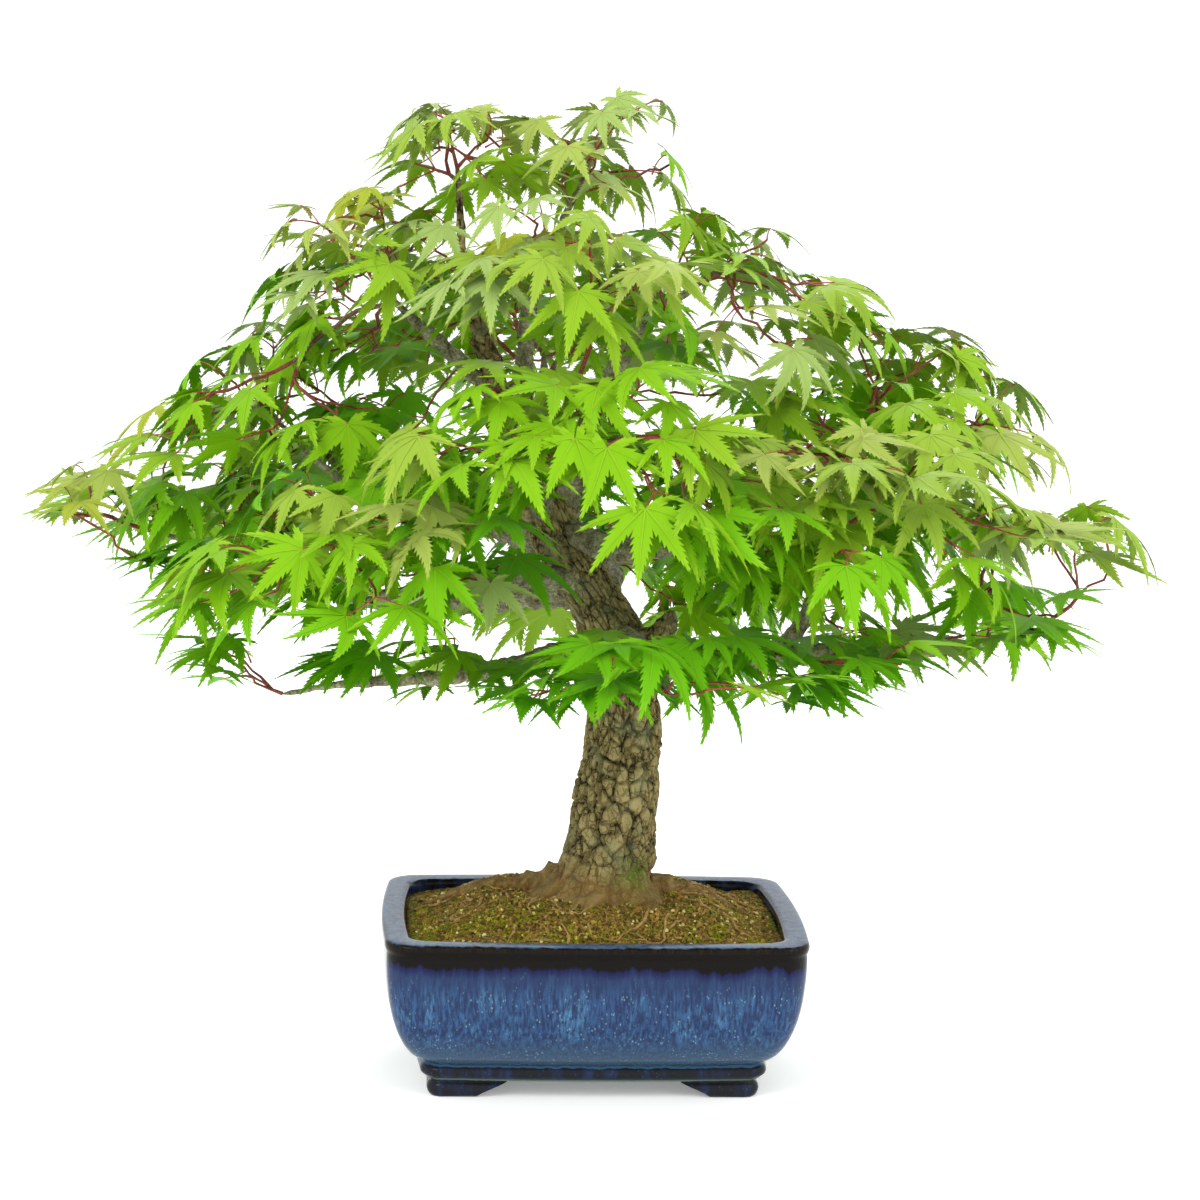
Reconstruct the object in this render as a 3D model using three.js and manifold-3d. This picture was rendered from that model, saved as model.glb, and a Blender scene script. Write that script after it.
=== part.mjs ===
// Bonsai maple in a glazed rectangular pot.
// Millimetres, +Z up. The origin lies on the floor under the middle of the pot; -Y is the front.
import * as THREE from 'three';
import { mergeVertices } from 'three/addons/utils/BufferGeometryUtils.js';
import Module from 'manifold-3d';

const wasm = await Module();
wasm.setup();

// Driving dimensions.
const GAP = 0.35; // clearance kept between neighbouring solids

const RIM_WIDTH = 220; // pot, across the lip
const RIM_DEPTH = 160;
const POT_HEIGHT = 85;
const CORNER_RADIUS = 16;
const SIDE_BOW = 2.5; // how far each side of the pot bulges at its middle
const WALL = 13;
const FOOT_HEIGHT = 9;
const FOOT_LENGTH = 40; // along the front, and three quarters of it along the side
const FOOT_THICKNESS = 13;
const FOOT_INSET = 25.5; // from the lip to the outer faces of a foot
const FLOOR_THICKNESS = 9;
const FOOT_RISE = 2; // how far a foot runs up into the underside
const DRAIN_RADIUS = 8;
const DRAIN_SPACING = 80;
const DRAIN_CUT = 40; // length of the cut through the floor
const LEAST_CORNER = 4; // the inner corners never get sharper than this radius

const SOIL_LEVEL = 80; // where the soil meets the wall
const SOIL_EDGE_DROP = 1; // the soil is this much narrower than the pot at the floor
const SLOPE = { rise: 4, halfWidth: 84, halfDepth: 56, corner: 16 }; // foot of the mound
const SEAT_LEVEL = 94.6; // flat top of the mound under the trunk
const SEAT = { x: 8, halfWidth: 66, halfDepth: 47, corner: 24 };

const CUT_LEVEL = SEAT_LEVEL + GAP; // flat cut under the trunk
const TRUNK_SIDES = 16;
const LIMB_SIDES = 6;
const LIMB_STEP = 19; // distance between the sections of a limb
const FLARE_HEIGHT = 8; // the roots sink into the trunk over about this height
const FLARE_SPREAD = 18; // and reach this much past it at the cut

const FOLIAGE_AROUND = 14; // facets of a foliage mass, round and up
const FOLIAGE_UP = 8;
const LUMPS = 8;
const LUMP_RISE = 0.28; // share of a mass's reach that its lumps make up

// Materials.
const finish = (color, roughness, metalness = 0) =>
  new THREE.MeshStandardMaterial({ color, roughness, metalness });
const glaze = () => finish(0x1f3f8c, 0.18);
const earth = () => finish(0x5a4326, 0.95);
const bark = () => finish(0x7d6a52, 0.9);
const youngBark = () => finish(0x8a7f6a, 0.8);
const leaf = () => finish(0x6fb52f, 0.55);

// Basic solids.
const group = new THREE.Group();
const UP = new THREE.Vector3(0, 0, 1);

function closedGeometry(points, triangles) {
  const geometry = new THREE.BufferGeometry();
  geometry.setAttribute('position', new THREE.Float32BufferAttribute(points.flat(), 3));
  geometry.setIndex(triangles.flat());
  return geometry;
}

// Skins a stack of equal rings and closes both ends with a fan round the ring's middle.
function loft(rings) {
  const count = rings[0].length;
  const points = rings.flat();
  const triangles = [];
  for (let ring = 0; ring < rings.length - 1; ring += 1) {
    for (let side = 0; side < count; side += 1) {
      const a = ring * count + side;
      const b = ring * count + ((side + 1) % count);
      triangles.push([a, b, b + count], [a, b + count, a + count]);
    }
  }
  for (const end of [0, rings.length - 1]) {
    const middle = rings[end].reduce((sum, p) => sum.map((v, i) => v + p[i] / count), [0, 0, 0]);
    const hub = points.push(middle) - 1;
    for (let side = 0; side < count; side += 1) {
      const a = end * count + side;
      const b = end * count + ((side + 1) % count);
      triangles.push(end === 0 ? [hub, b, a] : [hub, a, b]);
    }
  }
  return closedGeometry(points, triangles);
}

function toSolid(geometry) {
  const bare = geometry.clone();
  bare.deleteAttribute('normal');
  bare.deleteAttribute('uv');
  const merged = mergeVertices(bare);
  return new wasm.Manifold(new wasm.Mesh({
    numProp: 3,
    vertProperties: new Float32Array(merged.attributes.position.array),
    triVerts: new Uint32Array(merged.index.array),
  }));
}

function toGeometry(solid) {
  const mesh = solid.getMesh();
  const geometry = new THREE.BufferGeometry();
  geometry.setAttribute('position', new THREE.Float32BufferAttribute(mesh.vertProperties, 3));
  geometry.setIndex(Array.from(mesh.triVerts));
  return geometry;
}

function place(name, geometry, material) {
  const mesh = new THREE.Mesh(geometry, material);
  mesh.name = name;
  group.add(mesh);
}

// Seeded random numbers between 0 and 1, so every build gives the same plant.
function randomSource(seed) {
  let state = seed * 2654435761;
  return () => {
    state = (Math.imul(state ^ (state >>> 15), 2246822519) + 3266489917) | 0;
    return ((state ^ (state >>> 13)) >>> 0) / 4294967296;
  };
}

// The pot.
// A rectangle with rounded corners and slightly bulging sides, at one height.
function potRing(halfWidth, halfDepth, radius, z, centre = [0, 0], cornerPoints = 4) {
  const ring = [];
  const straightX = halfWidth - SIDE_BOW;
  const straightY = halfDepth - SIDE_BOW;
  // Each corner's signs, the angle that it starts at, and the middle of the side that follows it.
  const corners = [
    [1, 1, 0, [0, halfDepth]],
    [-1, 1, 90, [-halfWidth, 0]],
    [-1, -1, 180, [0, -halfDepth]],
    [1, -1, 270, [halfWidth, 0]],
  ];
  for (const [signX, signY, start, middle] of corners) {
    for (let i = 0; i < cornerPoints; i += 1) {
      const angle = THREE.MathUtils.degToRad(start + (90 * i) / (cornerPoints - 1));
      const x = signX * (straightX - radius) + radius * Math.cos(angle);
      const y = signY * (straightY - radius) + radius * Math.sin(angle);
      ring.push([centre[0] + x, centre[1] + y, z]);
    }
    ring.push([centre[0] + middle[0], centre[1] + middle[1], z]);
  }
  return ring;
}

// Outer profile, base moulding to lip: [height, distance in from the lip].
const POT_OUTSIDE = [
  [FOOT_HEIGHT, 26], [11, 20], [14, 18.6], [17, 20], [18.5, 20.2], [21.5, 14.8], [27, 11], [34, 7.4],
  [43, 4.4], [53, 2.4], [66, 1.2], [78.5, 1.6], [80.5, 0], [POT_HEIGHT, 1],
];
// Inner profile, lip to floor.
const POT_INSIDE = [
  [POT_HEIGHT, WALL - 1], [82, WALL], [66, WALL], [52, WALL + 2], [40, WALL + 6], [29, WALL + 13],
  [FOOT_HEIGHT + FLOOR_THICKNESS, WALL + 21],
];

function potSection([z, inset], shrink = 0) {
  const halfWidth = RIM_WIDTH / 2 - inset - shrink;
  const halfDepth = RIM_DEPTH / 2 - inset - shrink;
  const radius = Math.max(LEAST_CORNER, CORNER_RADIUS - inset * 0.3 - shrink);
  return potRing(halfWidth, halfDepth, radius, z);
}

// One arm of a bracket foot seen from the side: flat on the floor at the corner, curling up to its end.
function footArm(length) {
  const outline = new THREE.Shape();
  outline.moveTo(0, 0);
  outline.lineTo(length * 0.62, 0);
  outline.quadraticCurveTo(length * 0.76, FOOT_HEIGHT * 0.1, length * 0.86, FOOT_HEIGHT * 0.5);
  outline.lineTo(length, FOOT_HEIGHT + FOOT_RISE);
  outline.lineTo(0, FOOT_HEIGHT + FOOT_RISE);
  outline.closePath();
  const options = { depth: FOOT_THICKNESS, bevelEnabled: false, curveSegments: 3 };
  const arm = new THREE.ExtrudeGeometry(outline, options);
  arm.rotateX(Math.PI / 2);
  return arm;
}

// Mirrors a geometry across the planes that have a sign of -1, and keeps its faces outwards.
function mirrored(geometry, signX, signY) {
  const copy = geometry.clone().scale(signX, signY, 1);
  if (signX * signY < 0) {
    const corners = copy.attributes.position;
    const first = new THREE.Vector3();
    const last = new THREE.Vector3();
    for (let i = 0; i < corners.count; i += 3) {
      first.fromBufferAttribute(corners, i);
      last.fromBufferAttribute(corners, i + 2);
      corners.setXYZ(i, last.x, last.y, last.z);
      corners.setXYZ(i + 2, first.x, first.y, first.z);
    }
  }
  return copy;
}

// The foot at the corner that the signs name: one arm along the front or back, one along the side.
function footSolid(signX, signY) {
  const x = FOOT_INSET - RIM_WIDTH / 2;
  const y = FOOT_INSET - RIM_DEPTH / 2;
  const front = footArm(FOOT_LENGTH).translate(x, y + FOOT_THICKNESS, 0);
  const side = footArm(FOOT_LENGTH * 0.75).rotateZ(Math.PI / 2).translate(x, y, 0);
  return toSolid(mirrored(front, -signX, -signY)).add(toSolid(mirrored(side, -signX, -signY)));
}

function buildPot() {
  const outside = POT_OUTSIDE.map((row) => potSection(row));
  const inside = POT_INSIDE.map((row) => potSection(row));
  let pot = toSolid(loft([...outside, ...inside]));
  for (const signX of [-1, 1]) {
    for (const signY of [-1, 1]) {
      pot = pot.add(footSolid(signX, signY));
    }
  }
  for (const sign of [-1, 1]) {
    const drain = new THREE.CylinderGeometry(DRAIN_RADIUS, DRAIN_RADIUS, DRAIN_CUT, 12);
    drain.rotateX(Math.PI / 2);
    drain.translate((sign * DRAIN_SPACING) / 2, 0, FOOT_HEIGHT);
    pot = pot.subtract(toSolid(drain));
  }
  place('pot', toGeometry(pot), glaze());
}

// Soil up to the wall, rising to a flat mound that carries the trunk.
function buildSoil() {
  const [[floor, floorInset], ...rows] = POT_INSIDE.filter(([z]) => z < SOIL_LEVEL).reverse();
  const rings = [potSection([floor + GAP, floorInset], GAP + SOIL_EDGE_DROP)];
  rings.push(...rows.map((row) => potSection(row, GAP)));
  rings.push(potSection([SOIL_LEVEL, WALL], GAP));
  rings.push(potRing(SLOPE.halfWidth, SLOPE.halfDepth, SLOPE.corner, SOIL_LEVEL + SLOPE.rise));
  rings.push(potRing(SEAT.halfWidth, SEAT.halfDepth, SEAT.corner, SEAT_LEVEL, [SEAT.x, 0]));
  place('soil', loft(rings), earth());
}

// Limbs.
// Each limb follows a smooth curve through its stations. A station is [x, y, height, radius], and
// heights on the tree are measured up from the flat cut under the trunk.
function limbSolid(stations, grow = 0) {
  const places = stations.map(([x, y, z]) => new THREE.Vector3(x, y, CUT_LEVEL + z));
  const curve = new THREE.CatmullRomCurve3(places, false, 'centripetal');
  const count = Math.max(2, Math.round(curve.getLength() / LIMB_STEP));
  const frames = curve.computeFrenetFrames(count, false);
  const rings = [];
  for (let i = 0; i <= count; i += 1) {
    const along = curve.getUtoTmapping(i / count) * (stations.length - 1);
    const first = Math.min(stations.length - 2, Math.floor(along));
    const radius = THREE.MathUtils.lerp(stations[first][3], stations[first + 1][3], along - first);
    const centre = curve.getPointAt(i / count);
    const ring = [];
    for (let side = 0; side < LIMB_SIDES; side += 1) {
      const angle = (2 * Math.PI * side) / LIMB_SIDES;
      const reach = radius + grow;
      const point = centre.clone();
      point.addScaledVector(frames.normals[i], reach * Math.cos(angle));
      point.addScaledVector(frames.binormals[i], reach * Math.sin(angle));
      ring.push(point.toArray());
    }
    rings.push(ring);
  }
  return toSolid(loft(rings));
}

// Trunk: level sections, with the roots spreading as rounded ridges near the soil.
const TRUNK = [
  [11, 0, 0, 23.4], [11, 0, 11, 23], [11, 0, 32, 21.5], [12, 0, 52, 20.8], [14, -1, 77, 19.3],
  [14, -1, 102, 17.8], [12, 0, 123, 18], [5, 1, 144, 16.5], [-9, 2, 167, 15], [-20, 3, 187, 14],
  [-27, 3, 203, 11.5],
];
const TRUNK_LEVELS = [0, 3, 7, 13, 22, 38, 58, 79, 100, 120, 137, 155, 171, 187, 203];
const ROOT_BEARINGS = [195, 250, 300, 350, 60, 130];

function rootRise(angle) {
  const degrees = THREE.MathUtils.radToDeg(angle);
  return Math.max(...ROOT_BEARINGS.map((bearing) => {
    const away = THREE.MathUtils.degToRad(degrees - bearing);
    return Math.max(0, Math.cos(away)) ** 6;
  }));
}

function trunkSolid(grow = 0) {
  const places = TRUNK.map(([x, y, z]) => new THREE.Vector3(x, y, z));
  const curve = new THREE.CatmullRomCurve3(places, false, 'centripetal');
  const rings = TRUNK_LEVELS.map((level) => {
    const next = Math.max(1, TRUNK.findIndex((station) => station[2] >= level));
    const share = (level - TRUNK[next - 1][2]) / (TRUNK[next][2] - TRUNK[next - 1][2]);
    const centre = curve.getPoint((next - 1 + share) / (TRUNK.length - 1));
    const radius = THREE.MathUtils.lerp(TRUNK[next - 1][3], TRUNK[next][3], share);
    const spread = FLARE_SPREAD * Math.exp(-level / FLARE_HEIGHT);
    return Array.from({ length: TRUNK_SIDES }, (_, side) => {
      const angle = (2 * Math.PI * side) / TRUNK_SIDES;
      const reach = radius + spread * (0.45 + 0.55 * rootRise(angle)) + grow;
      const z = CUT_LEVEL + level + (level === 0 ? -grow : 0);
      return [centre.x + reach * Math.cos(angle), centre.y + 0.94 * reach * Math.sin(angle), z];
    });
  });
  return toSolid(loft(rings));
}

// Boughs, from inside the trunk (or the limb that carries them) to the foliage that they enter.
const BOUGHS = [
  {
    name: 'leader_left', into: 'foliage_top_left',
    route: [
      [-24, 3, 191, 10.5], [-38, 4, 208, 9.5], [-50, 3, 227, 8.2], [-51, 1, 247, 7.2],
      [-57, -2, 269, 6.2], [-64, -3, 297, 5], [-72, -3, 327, 4], [-76, -2, 369, 3],
    ],
  },
  {
    name: 'leader_right', into: 'foliage_upper_right',
    route: [
      [-20, 4, 191, 7.5], [-14, 10, 215, 6.6], [-6, 13, 242, 5.8], [4, 13, 267, 5],
      [22, 11, 297, 4.2], [50, 10, 319, 3],
    ],
  },
  {
    name: 'leader_back', into: 'foliage_back_high',
    route: [
      [-24, 8, 187, 6.5], [-26, 26, 219, 5.6], [-28, 48, 245, 4.6], [-28, 75, 265, 3.6],
      [-26, 100, 275, 2.8],
    ],
  },
  {
    name: 'stem_top_right', into: 'foliage_top_right',
    route: [
      [-52, 1, 245, 4.6], [-42, 3, 269, 4.2], [-40, 4, 292, 3.8], [-34, 5, 317, 3.4],
      [-22, 6, 347, 3], [-10, 6, 375, 2.4],
    ],
  },
  {
    name: 'stem_upper_left', into: 'foliage_upper_left',
    route: [
      [-55, -1, 259, 4.2], [-72, -8, 275, 3.8], [-92, -12, 293, 3.2], [-112, -12, 311, 2.6],
    ],
  },
  {
    name: 'bough_right_low', into: 'foliage_right_tip',
    route: [
      [10, 0, 115, 8.5], [33, -2, 121, 8], [54, -4, 125.5, 7], [75, -5, 124, 6.2],
      [98, -6, 128, 5.6], [122, -9, 130, 5], [150, -14, 130, 4.4], [182, -22, 135, 3.6],
      [225, -32, 147, 2.6],
    ],
  },
  {
    name: 'bough_right_riser', into: 'foliage_right_shoulder',
    route: [
      [86, -5, 125, 4.6], [102, -1, 138, 4.2], [117, 5, 160, 3.8], [134, 8, 182, 3.3],
      [152, 6, 199, 3], [172, 4, 221, 2.4],
    ],
  },
  {
    name: 'bough_right_front', into: 'foliage_right_front',
    route: [
      [-18, 0, 190, 6.5], [-4, -13, 186, 6], [14, -20, 182, 5.4], [37, -26, 187, 4.8],
      [62, -36, 197, 4.2], [90, -55, 202, 3.6], [118, -80, 205, 2.8],
    ],
  },
  {
    name: 'bough_front_low', into: 'foliage_front_low',
    route: [
      [8, -6, 131, 6.4], [10, -30, 139, 5.6], [14, -56, 141, 4.8], [20, -84, 135, 4],
      [26, -112, 125, 3],
    ],
  },
  {
    name: 'bough_front_high', into: 'foliage_front_high',
    route: [
      [-28, -2, 197, 6], [-34, -20, 215, 5.2], [-30, -44, 229, 4.4], [-22, -72, 237, 3.6],
      [-14, -100, 241, 2.8],
    ],
  },
  {
    name: 'bough_front_left', into: 'foliage_front_left',
    route: [
      [-10, -4, 165, 6], [-34, -24, 169, 5.2], [-62, -48, 169, 4.4], [-92, -76, 169, 3.6],
      [-118, -98, 169, 2.8],
    ],
  },
  {
    name: 'bough_left_lowest', into: 'foliage_left_low',
    route: [
      [4, -2, 135, 5], [-24, -18, 129, 4.6], [-56, -32, 122, 4], [-89, -40, 119, 3.5],
      [-121, -44, 117, 3], [-160, -46, 111, 2.3],
    ],
  },
  {
    name: 'bough_left_low', into: 'foliage_left_tip',
    route: [
      [-8, 3, 157, 7], [-36, 20, 153, 6.2], [-75, 32, 147, 5.5], [-110, 36, 147, 4.9],
      [-135, 38, 152, 4.3], [-160, 40, 163, 3.7], [-190, 42, 171, 3.1], [-230, 42, 181, 2.5],
    ],
  },
  {
    name: 'bough_left_mid', into: 'foliage_left_mid',
    route: [
      [-24, 5, 183, 6.2], [-52, 16, 189, 5.4], [-80, 24, 192, 4.7], [-104, 28, 196, 4],
      [-128, 30, 207, 3.4], [-156, 28, 229, 2.6],
    ],
  },
  {
    name: 'bough_back_low', into: 'foliage_back_low',
    route: [
      [4, 4, 145, 6.6], [8, 32, 155, 5.6], [12, 64, 159, 4.8], [14, 96, 157, 4],
      [14, 130, 151, 3],
    ],
  },
  {
    name: 'bough_back_left', into: 'foliage_back_left',
    route: [
      [-18, 7, 175, 6], [-46, 38, 185, 5.2], [-76, 66, 191, 4.4], [-104, 92, 193, 3.6],
      [-132, 118, 195, 2.8],
    ],
  },
  {
    name: 'bough_back_right', into: 'foliage_back_right',
    route: [
      [-8, 6, 169, 6], [26, 34, 181, 5.2], [60, 60, 189, 4.4], [94, 84, 193, 3.6],
      [126, 108, 195, 2.8],
    ],
  },
];

// Foliage.
// Each mass is a lumpy pad: its middle, its half sizes, how far its rim hangs below its middle,
// and, where a shoot runs out of it, the bearing and extra length of that point.
const FOLIAGE = [
  { name: 'foliage_top_left', at: [-76, -2, 382], half: [42, 44, 42], hang: 10 },
  { name: 'foliage_top_right', at: [4, 6, 381], half: [46, 46, 44], hang: 10 },
  { name: 'foliage_upper_left', at: [-120, -10, 323], half: [70, 72, 54], hang: 18 },
  { name: 'foliage_upper_front', at: [-28, -66, 316], half: [76, 66, 54], hang: 18 },
  { name: 'foliage_upper_right', at: [72, 8, 309], half: [72, 80, 56], hang: 18 },
  { name: 'foliage_back_high', at: [-30, 104, 292], half: [98, 74, 64], hang: 22 },
  { name: 'foliage_left_mid', at: [-162, 24, 250], half: [86, 90, 58], hang: 22 },
  { name: 'foliage_left_tip', at: [-216, 36, 184], half: [82, 80, 46], hang: 16, point: [183, 10] },
  { name: 'foliage_left_low', at: [-166, -44, 116], half: [80, 72, 32], hang: 14 },
  { name: 'foliage_front_left', at: [-124, -104, 180], half: [92, 84, 60], hang: 22 },
  { name: 'foliage_front_high', at: [-12, -112, 242], half: [98, 80, 60], hang: 22 },
  { name: 'foliage_front_low', at: [24, -124, 131], half: [88, 80, 44], hang: 20 },
  { name: 'foliage_right_front', at: [126, -96, 208], half: [96, 86, 62], hang: 24 },
  { name: 'foliage_right_shoulder', at: [166, 14, 250], half: [86, 90, 62], hang: 24 },
  { name: 'foliage_right_tip', at: [237, -34, 171], half: [76, 88, 54], hang: 22, point: [356, 10] },
  { name: 'foliage_right_low', at: [142, -80, 128], half: [76, 62, 38], hang: 14 },
  { name: 'foliage_back_low', at: [10, 130, 156], half: [104, 76, 60], hang: 26 },
  { name: 'foliage_back_left', at: [-132, 122, 194], half: [90, 80, 60], hang: 24 },
  { name: 'foliage_back_right', at: [134, 116, 198], half: [94, 82, 62], hang: 24 },
];

function foliageSolid({ at, half, hang, point, seed }, grow = 0) {
  const random = randomSource(seed);
  const lumps = Array.from({ length: LUMPS }, (_, i) => {
    const turn = 2 * Math.PI * (i / LUMPS + 0.5 * random());
    return new THREE.Vector3(Math.cos(turn), Math.sin(turn), 1.6 * random() - 0.5).normalize();
  });
  const geometry = new THREE.SphereGeometry(1, FOLIAGE_AROUND, FOLIAGE_UP).rotateX(Math.PI / 2);
  const corners = geometry.attributes.position;
  const way = new THREE.Vector3();
  const spread = new THREE.Vector3(...half);
  for (let i = 0; i < corners.count; i += 1) {
    way.fromBufferAttribute(corners, i).normalize();
    const lump = Math.max(...lumps.map((middle) => Math.max(0, way.dot(middle)) ** 5));
    const reach = 1 - LUMP_RISE * (1 - lump);
    const place = way.clone().multiplyScalar(reach).multiply(spread);
    place.z -= hang * Math.hypot(way.x, way.y) ** 3 * reach;
    if (point) {
      const shoot = new THREE.Vector3(1, 0, 0).applyAxisAngle(UP, THREE.MathUtils.degToRad(point[0]));
      place.addScaledVector(shoot, point[1] * Math.max(0, way.dot(shoot)) ** 8);
    }
    place.addScaledVector(way.clone().divide(spread).normalize(), grow);
    corners.setXYZ(i, at[0] + place.x, at[1] + place.y, CUT_LEVEL + at[2] + place.z);
  }
  return toSolid(geometry);
}

// Builds the trunk whole, stops each bough at the trunk and at the foliage that it enters,
// and cuts the foliage round every limb that passes it and round the masses before it.
function buildTree() {
  place('trunk', toGeometry(trunkSolid()), bark());
  const clearOf = [trunkSolid(GAP)];
  const masses = FOLIAGE.map((mass, i) => ({ ...mass, seed: i + 11 }));
  for (const { name, into, route } of BOUGHS) {
    const target = masses.find((mass) => mass.name === into);
    let limb = limbSolid(route).subtract(foliageSolid(target, GAP));
    for (const neighbour of clearOf) {
      limb = limb.subtract(neighbour);
    }
    place(name, toGeometry(limb), youngBark());
    clearOf.push(limbSolid(route, GAP).subtract(foliageSolid(target)));
  }
  for (const mass of masses) {
    let solid = foliageSolid(mass);
    for (const neighbour of clearOf) {
      solid = solid.subtract(neighbour);
    }
    place(mass.name, toGeometry(solid), leaf());
    clearOf.push(foliageSolid(mass, GAP));
  }
}

buildPot();
buildSoil();
buildTree();

export default group;
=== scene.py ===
"""Japanese maple bonsai in a blue glazed pot: the finished looks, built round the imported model.

Made pieces are in metres, +Z up, with -Y at the front. The classes hold their sizes in millimetres,
and MM turns them into metres. Heights on the tree are measured up from the flat cut under its trunk.
"""

import sys
import logging
import math
import random
from dataclasses import dataclass, field
from enum import Enum
from typing import Callable, Sequence

import bpy
import numpy as np
from mathutils import Matrix, Vector, noise
from mathutils.bvhtree import BVHTree


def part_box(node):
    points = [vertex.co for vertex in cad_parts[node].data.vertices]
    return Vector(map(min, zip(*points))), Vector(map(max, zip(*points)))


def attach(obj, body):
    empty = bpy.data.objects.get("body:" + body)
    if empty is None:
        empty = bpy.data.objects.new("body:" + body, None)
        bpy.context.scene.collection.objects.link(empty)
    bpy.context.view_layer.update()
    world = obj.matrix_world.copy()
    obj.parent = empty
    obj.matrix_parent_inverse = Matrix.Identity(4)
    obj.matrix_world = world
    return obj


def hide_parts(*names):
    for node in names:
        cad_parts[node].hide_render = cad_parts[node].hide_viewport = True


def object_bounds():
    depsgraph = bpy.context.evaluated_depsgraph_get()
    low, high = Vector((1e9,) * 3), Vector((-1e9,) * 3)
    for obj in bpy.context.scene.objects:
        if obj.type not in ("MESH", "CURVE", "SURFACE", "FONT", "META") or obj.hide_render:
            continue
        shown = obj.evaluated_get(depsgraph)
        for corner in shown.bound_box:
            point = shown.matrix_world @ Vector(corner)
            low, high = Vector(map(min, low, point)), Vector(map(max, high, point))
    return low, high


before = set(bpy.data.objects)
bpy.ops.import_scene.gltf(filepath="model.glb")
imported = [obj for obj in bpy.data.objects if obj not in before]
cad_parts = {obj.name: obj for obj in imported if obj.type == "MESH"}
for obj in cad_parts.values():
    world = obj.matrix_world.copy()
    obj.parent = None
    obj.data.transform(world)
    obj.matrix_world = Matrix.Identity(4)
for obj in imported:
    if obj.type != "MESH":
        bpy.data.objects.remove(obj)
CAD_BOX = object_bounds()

LOG = logging.getLogger("maple")
MM = 0.001
BODY = "root"
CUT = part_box("trunk")[0].z / MM
UP = np.array([0.0, 0.0, 1.0])
FULL_TURN = 2 * math.pi
NOISE_SEED = 1
Colour = tuple[float, float, float, float]
Station = tuple[float, float, float, float]
Zone = tuple[float, float]

# Blender's noise starts from the clock until it is seeded.
noise.seed_set(NOISE_SEED)


class Slot(Enum):
    """The record's material slots."""

    GLAZE = "glaze"
    SOIL = "soil"
    BARK = "bark"
    YOUNG_BARK = "young_bark"
    LEAF = "leaf"


# Helpers for shapes.


def smooth(low: float, high: float, value: np.ndarray | float) -> np.ndarray:
    """Eases from 0 at low to 1 at high."""
    share = np.clip((np.asarray(value, float) - low) / (high - low), 0, 1)
    return share * share * (3 - 2 * share)


def unit(vector: np.ndarray) -> np.ndarray:
    """The vector, or each row of vectors, at length 1."""
    length = np.linalg.norm(vector, axis=-1, keepdims=True)
    return vector / np.maximum(length, 1e-9)


def curve_through(stations: Sequence[Station], step: float) -> np.ndarray:
    """Runs a centripetal curve through stations.

    Args:
        stations: Rows of x, y, z and radius.
        step: Distance between the points of the result.

    Returns:
        Rows of x, y, z and radius, evenly spaced along the curve.
    """
    knots = np.array(stations, float)
    ends = np.vstack([2 * knots[0] - knots[1], knots, 2 * knots[-1] - knots[-2]])
    fine = []
    for i in range(1, len(ends) - 2):
        around = ends[i - 1:i + 3]
        gaps = np.maximum(np.linalg.norm(np.diff(around[:, :3], axis=0), axis=1) ** 0.5, 1e-6)
        t0, t1, t2, t3 = np.concatenate([[0], np.cumsum(gaps)])
        t = np.linspace(t1, t2, 24, endpoint=False)[:, None]
        a1 = (t1 - t) / (t1 - t0) * around[0] + (t - t0) / (t1 - t0) * around[1]
        a2 = (t2 - t) / (t2 - t1) * around[1] + (t - t1) / (t2 - t1) * around[2]
        a3 = (t3 - t) / (t3 - t2) * around[2] + (t - t2) / (t3 - t2) * around[3]
        b1 = (t2 - t) / (t2 - t0) * a1 + (t - t0) / (t2 - t0) * a2
        b2 = (t3 - t) / (t3 - t1) * a2 + (t - t1) / (t3 - t1) * a3
        fine.append((t2 - t) / (t2 - t1) * b1 + (t - t1) / (t2 - t1) * b2)
    fine = np.vstack([*fine, knots[-1:]])
    along = run_along(fine)
    count = max(2, round(along[-1] / step)) + 1
    marks = np.linspace(0, along[-1], count)
    return np.column_stack([np.interp(marks, along, fine[:, k]) for k in range(4)])


def run_along(path: np.ndarray) -> np.ndarray:
    """How far along a path each of its points is."""
    return np.concatenate([[0], np.cumsum(np.linalg.norm(np.diff(path[:, :3], axis=0), axis=1))])


def from_bearing(turn: np.ndarray, bearing: float) -> np.ndarray:
    """The angles from a bearing in degrees, between half a turn back and half a turn on."""
    return (turn - math.radians(bearing) + math.pi) % FULL_TURN - math.pi


def frames_along(path: np.ndarray) -> tuple[np.ndarray, np.ndarray, np.ndarray]:
    """Finds the tangent and two cross directions at each point of a path, without twist."""
    tangent = unit(np.gradient(path, axis=0))
    side = np.cross(tangent[0], (0.0, 0.0, 1.0))
    if np.linalg.norm(side) < 0.1:
        side = np.cross(tangent[0], (0.0, 1.0, 0.0))
    sides = []
    for way in tangent:
        side = unit(side - way * np.dot(side, way))
        sides.append(side)
    sides = np.array(sides)
    return tangent, sides, np.cross(tangent, sides)


def tube(path: np.ndarray, radii: Sequence[float], sides: int) -> tuple[np.ndarray, list]:
    """Corners and faces of a closed thin tube along a path."""
    _, across, over = frames_along(path)
    turn = np.linspace(0, FULL_TURN, sides, endpoint=False)
    reach = np.asarray(radii)[:, None, None]
    ring = across[:, None] * np.cos(turn)[None, :, None] + over[:, None] * np.sin(turn)[None, :, None]
    corners = (path[:, None] + ring * reach).reshape(-1, 3)
    faces = []
    for row in range(len(path) - 1):
        for i in range(sides):
            a, b = row * sides + i, row * sides + (i + 1) % sides
            faces.append((a, b, b + sides, a + sides))
    faces.append(tuple(reversed(range(sides))))
    faces.append(tuple(range((len(path) - 1) * sides, len(path) * sides)))
    return corners, faces


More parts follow.
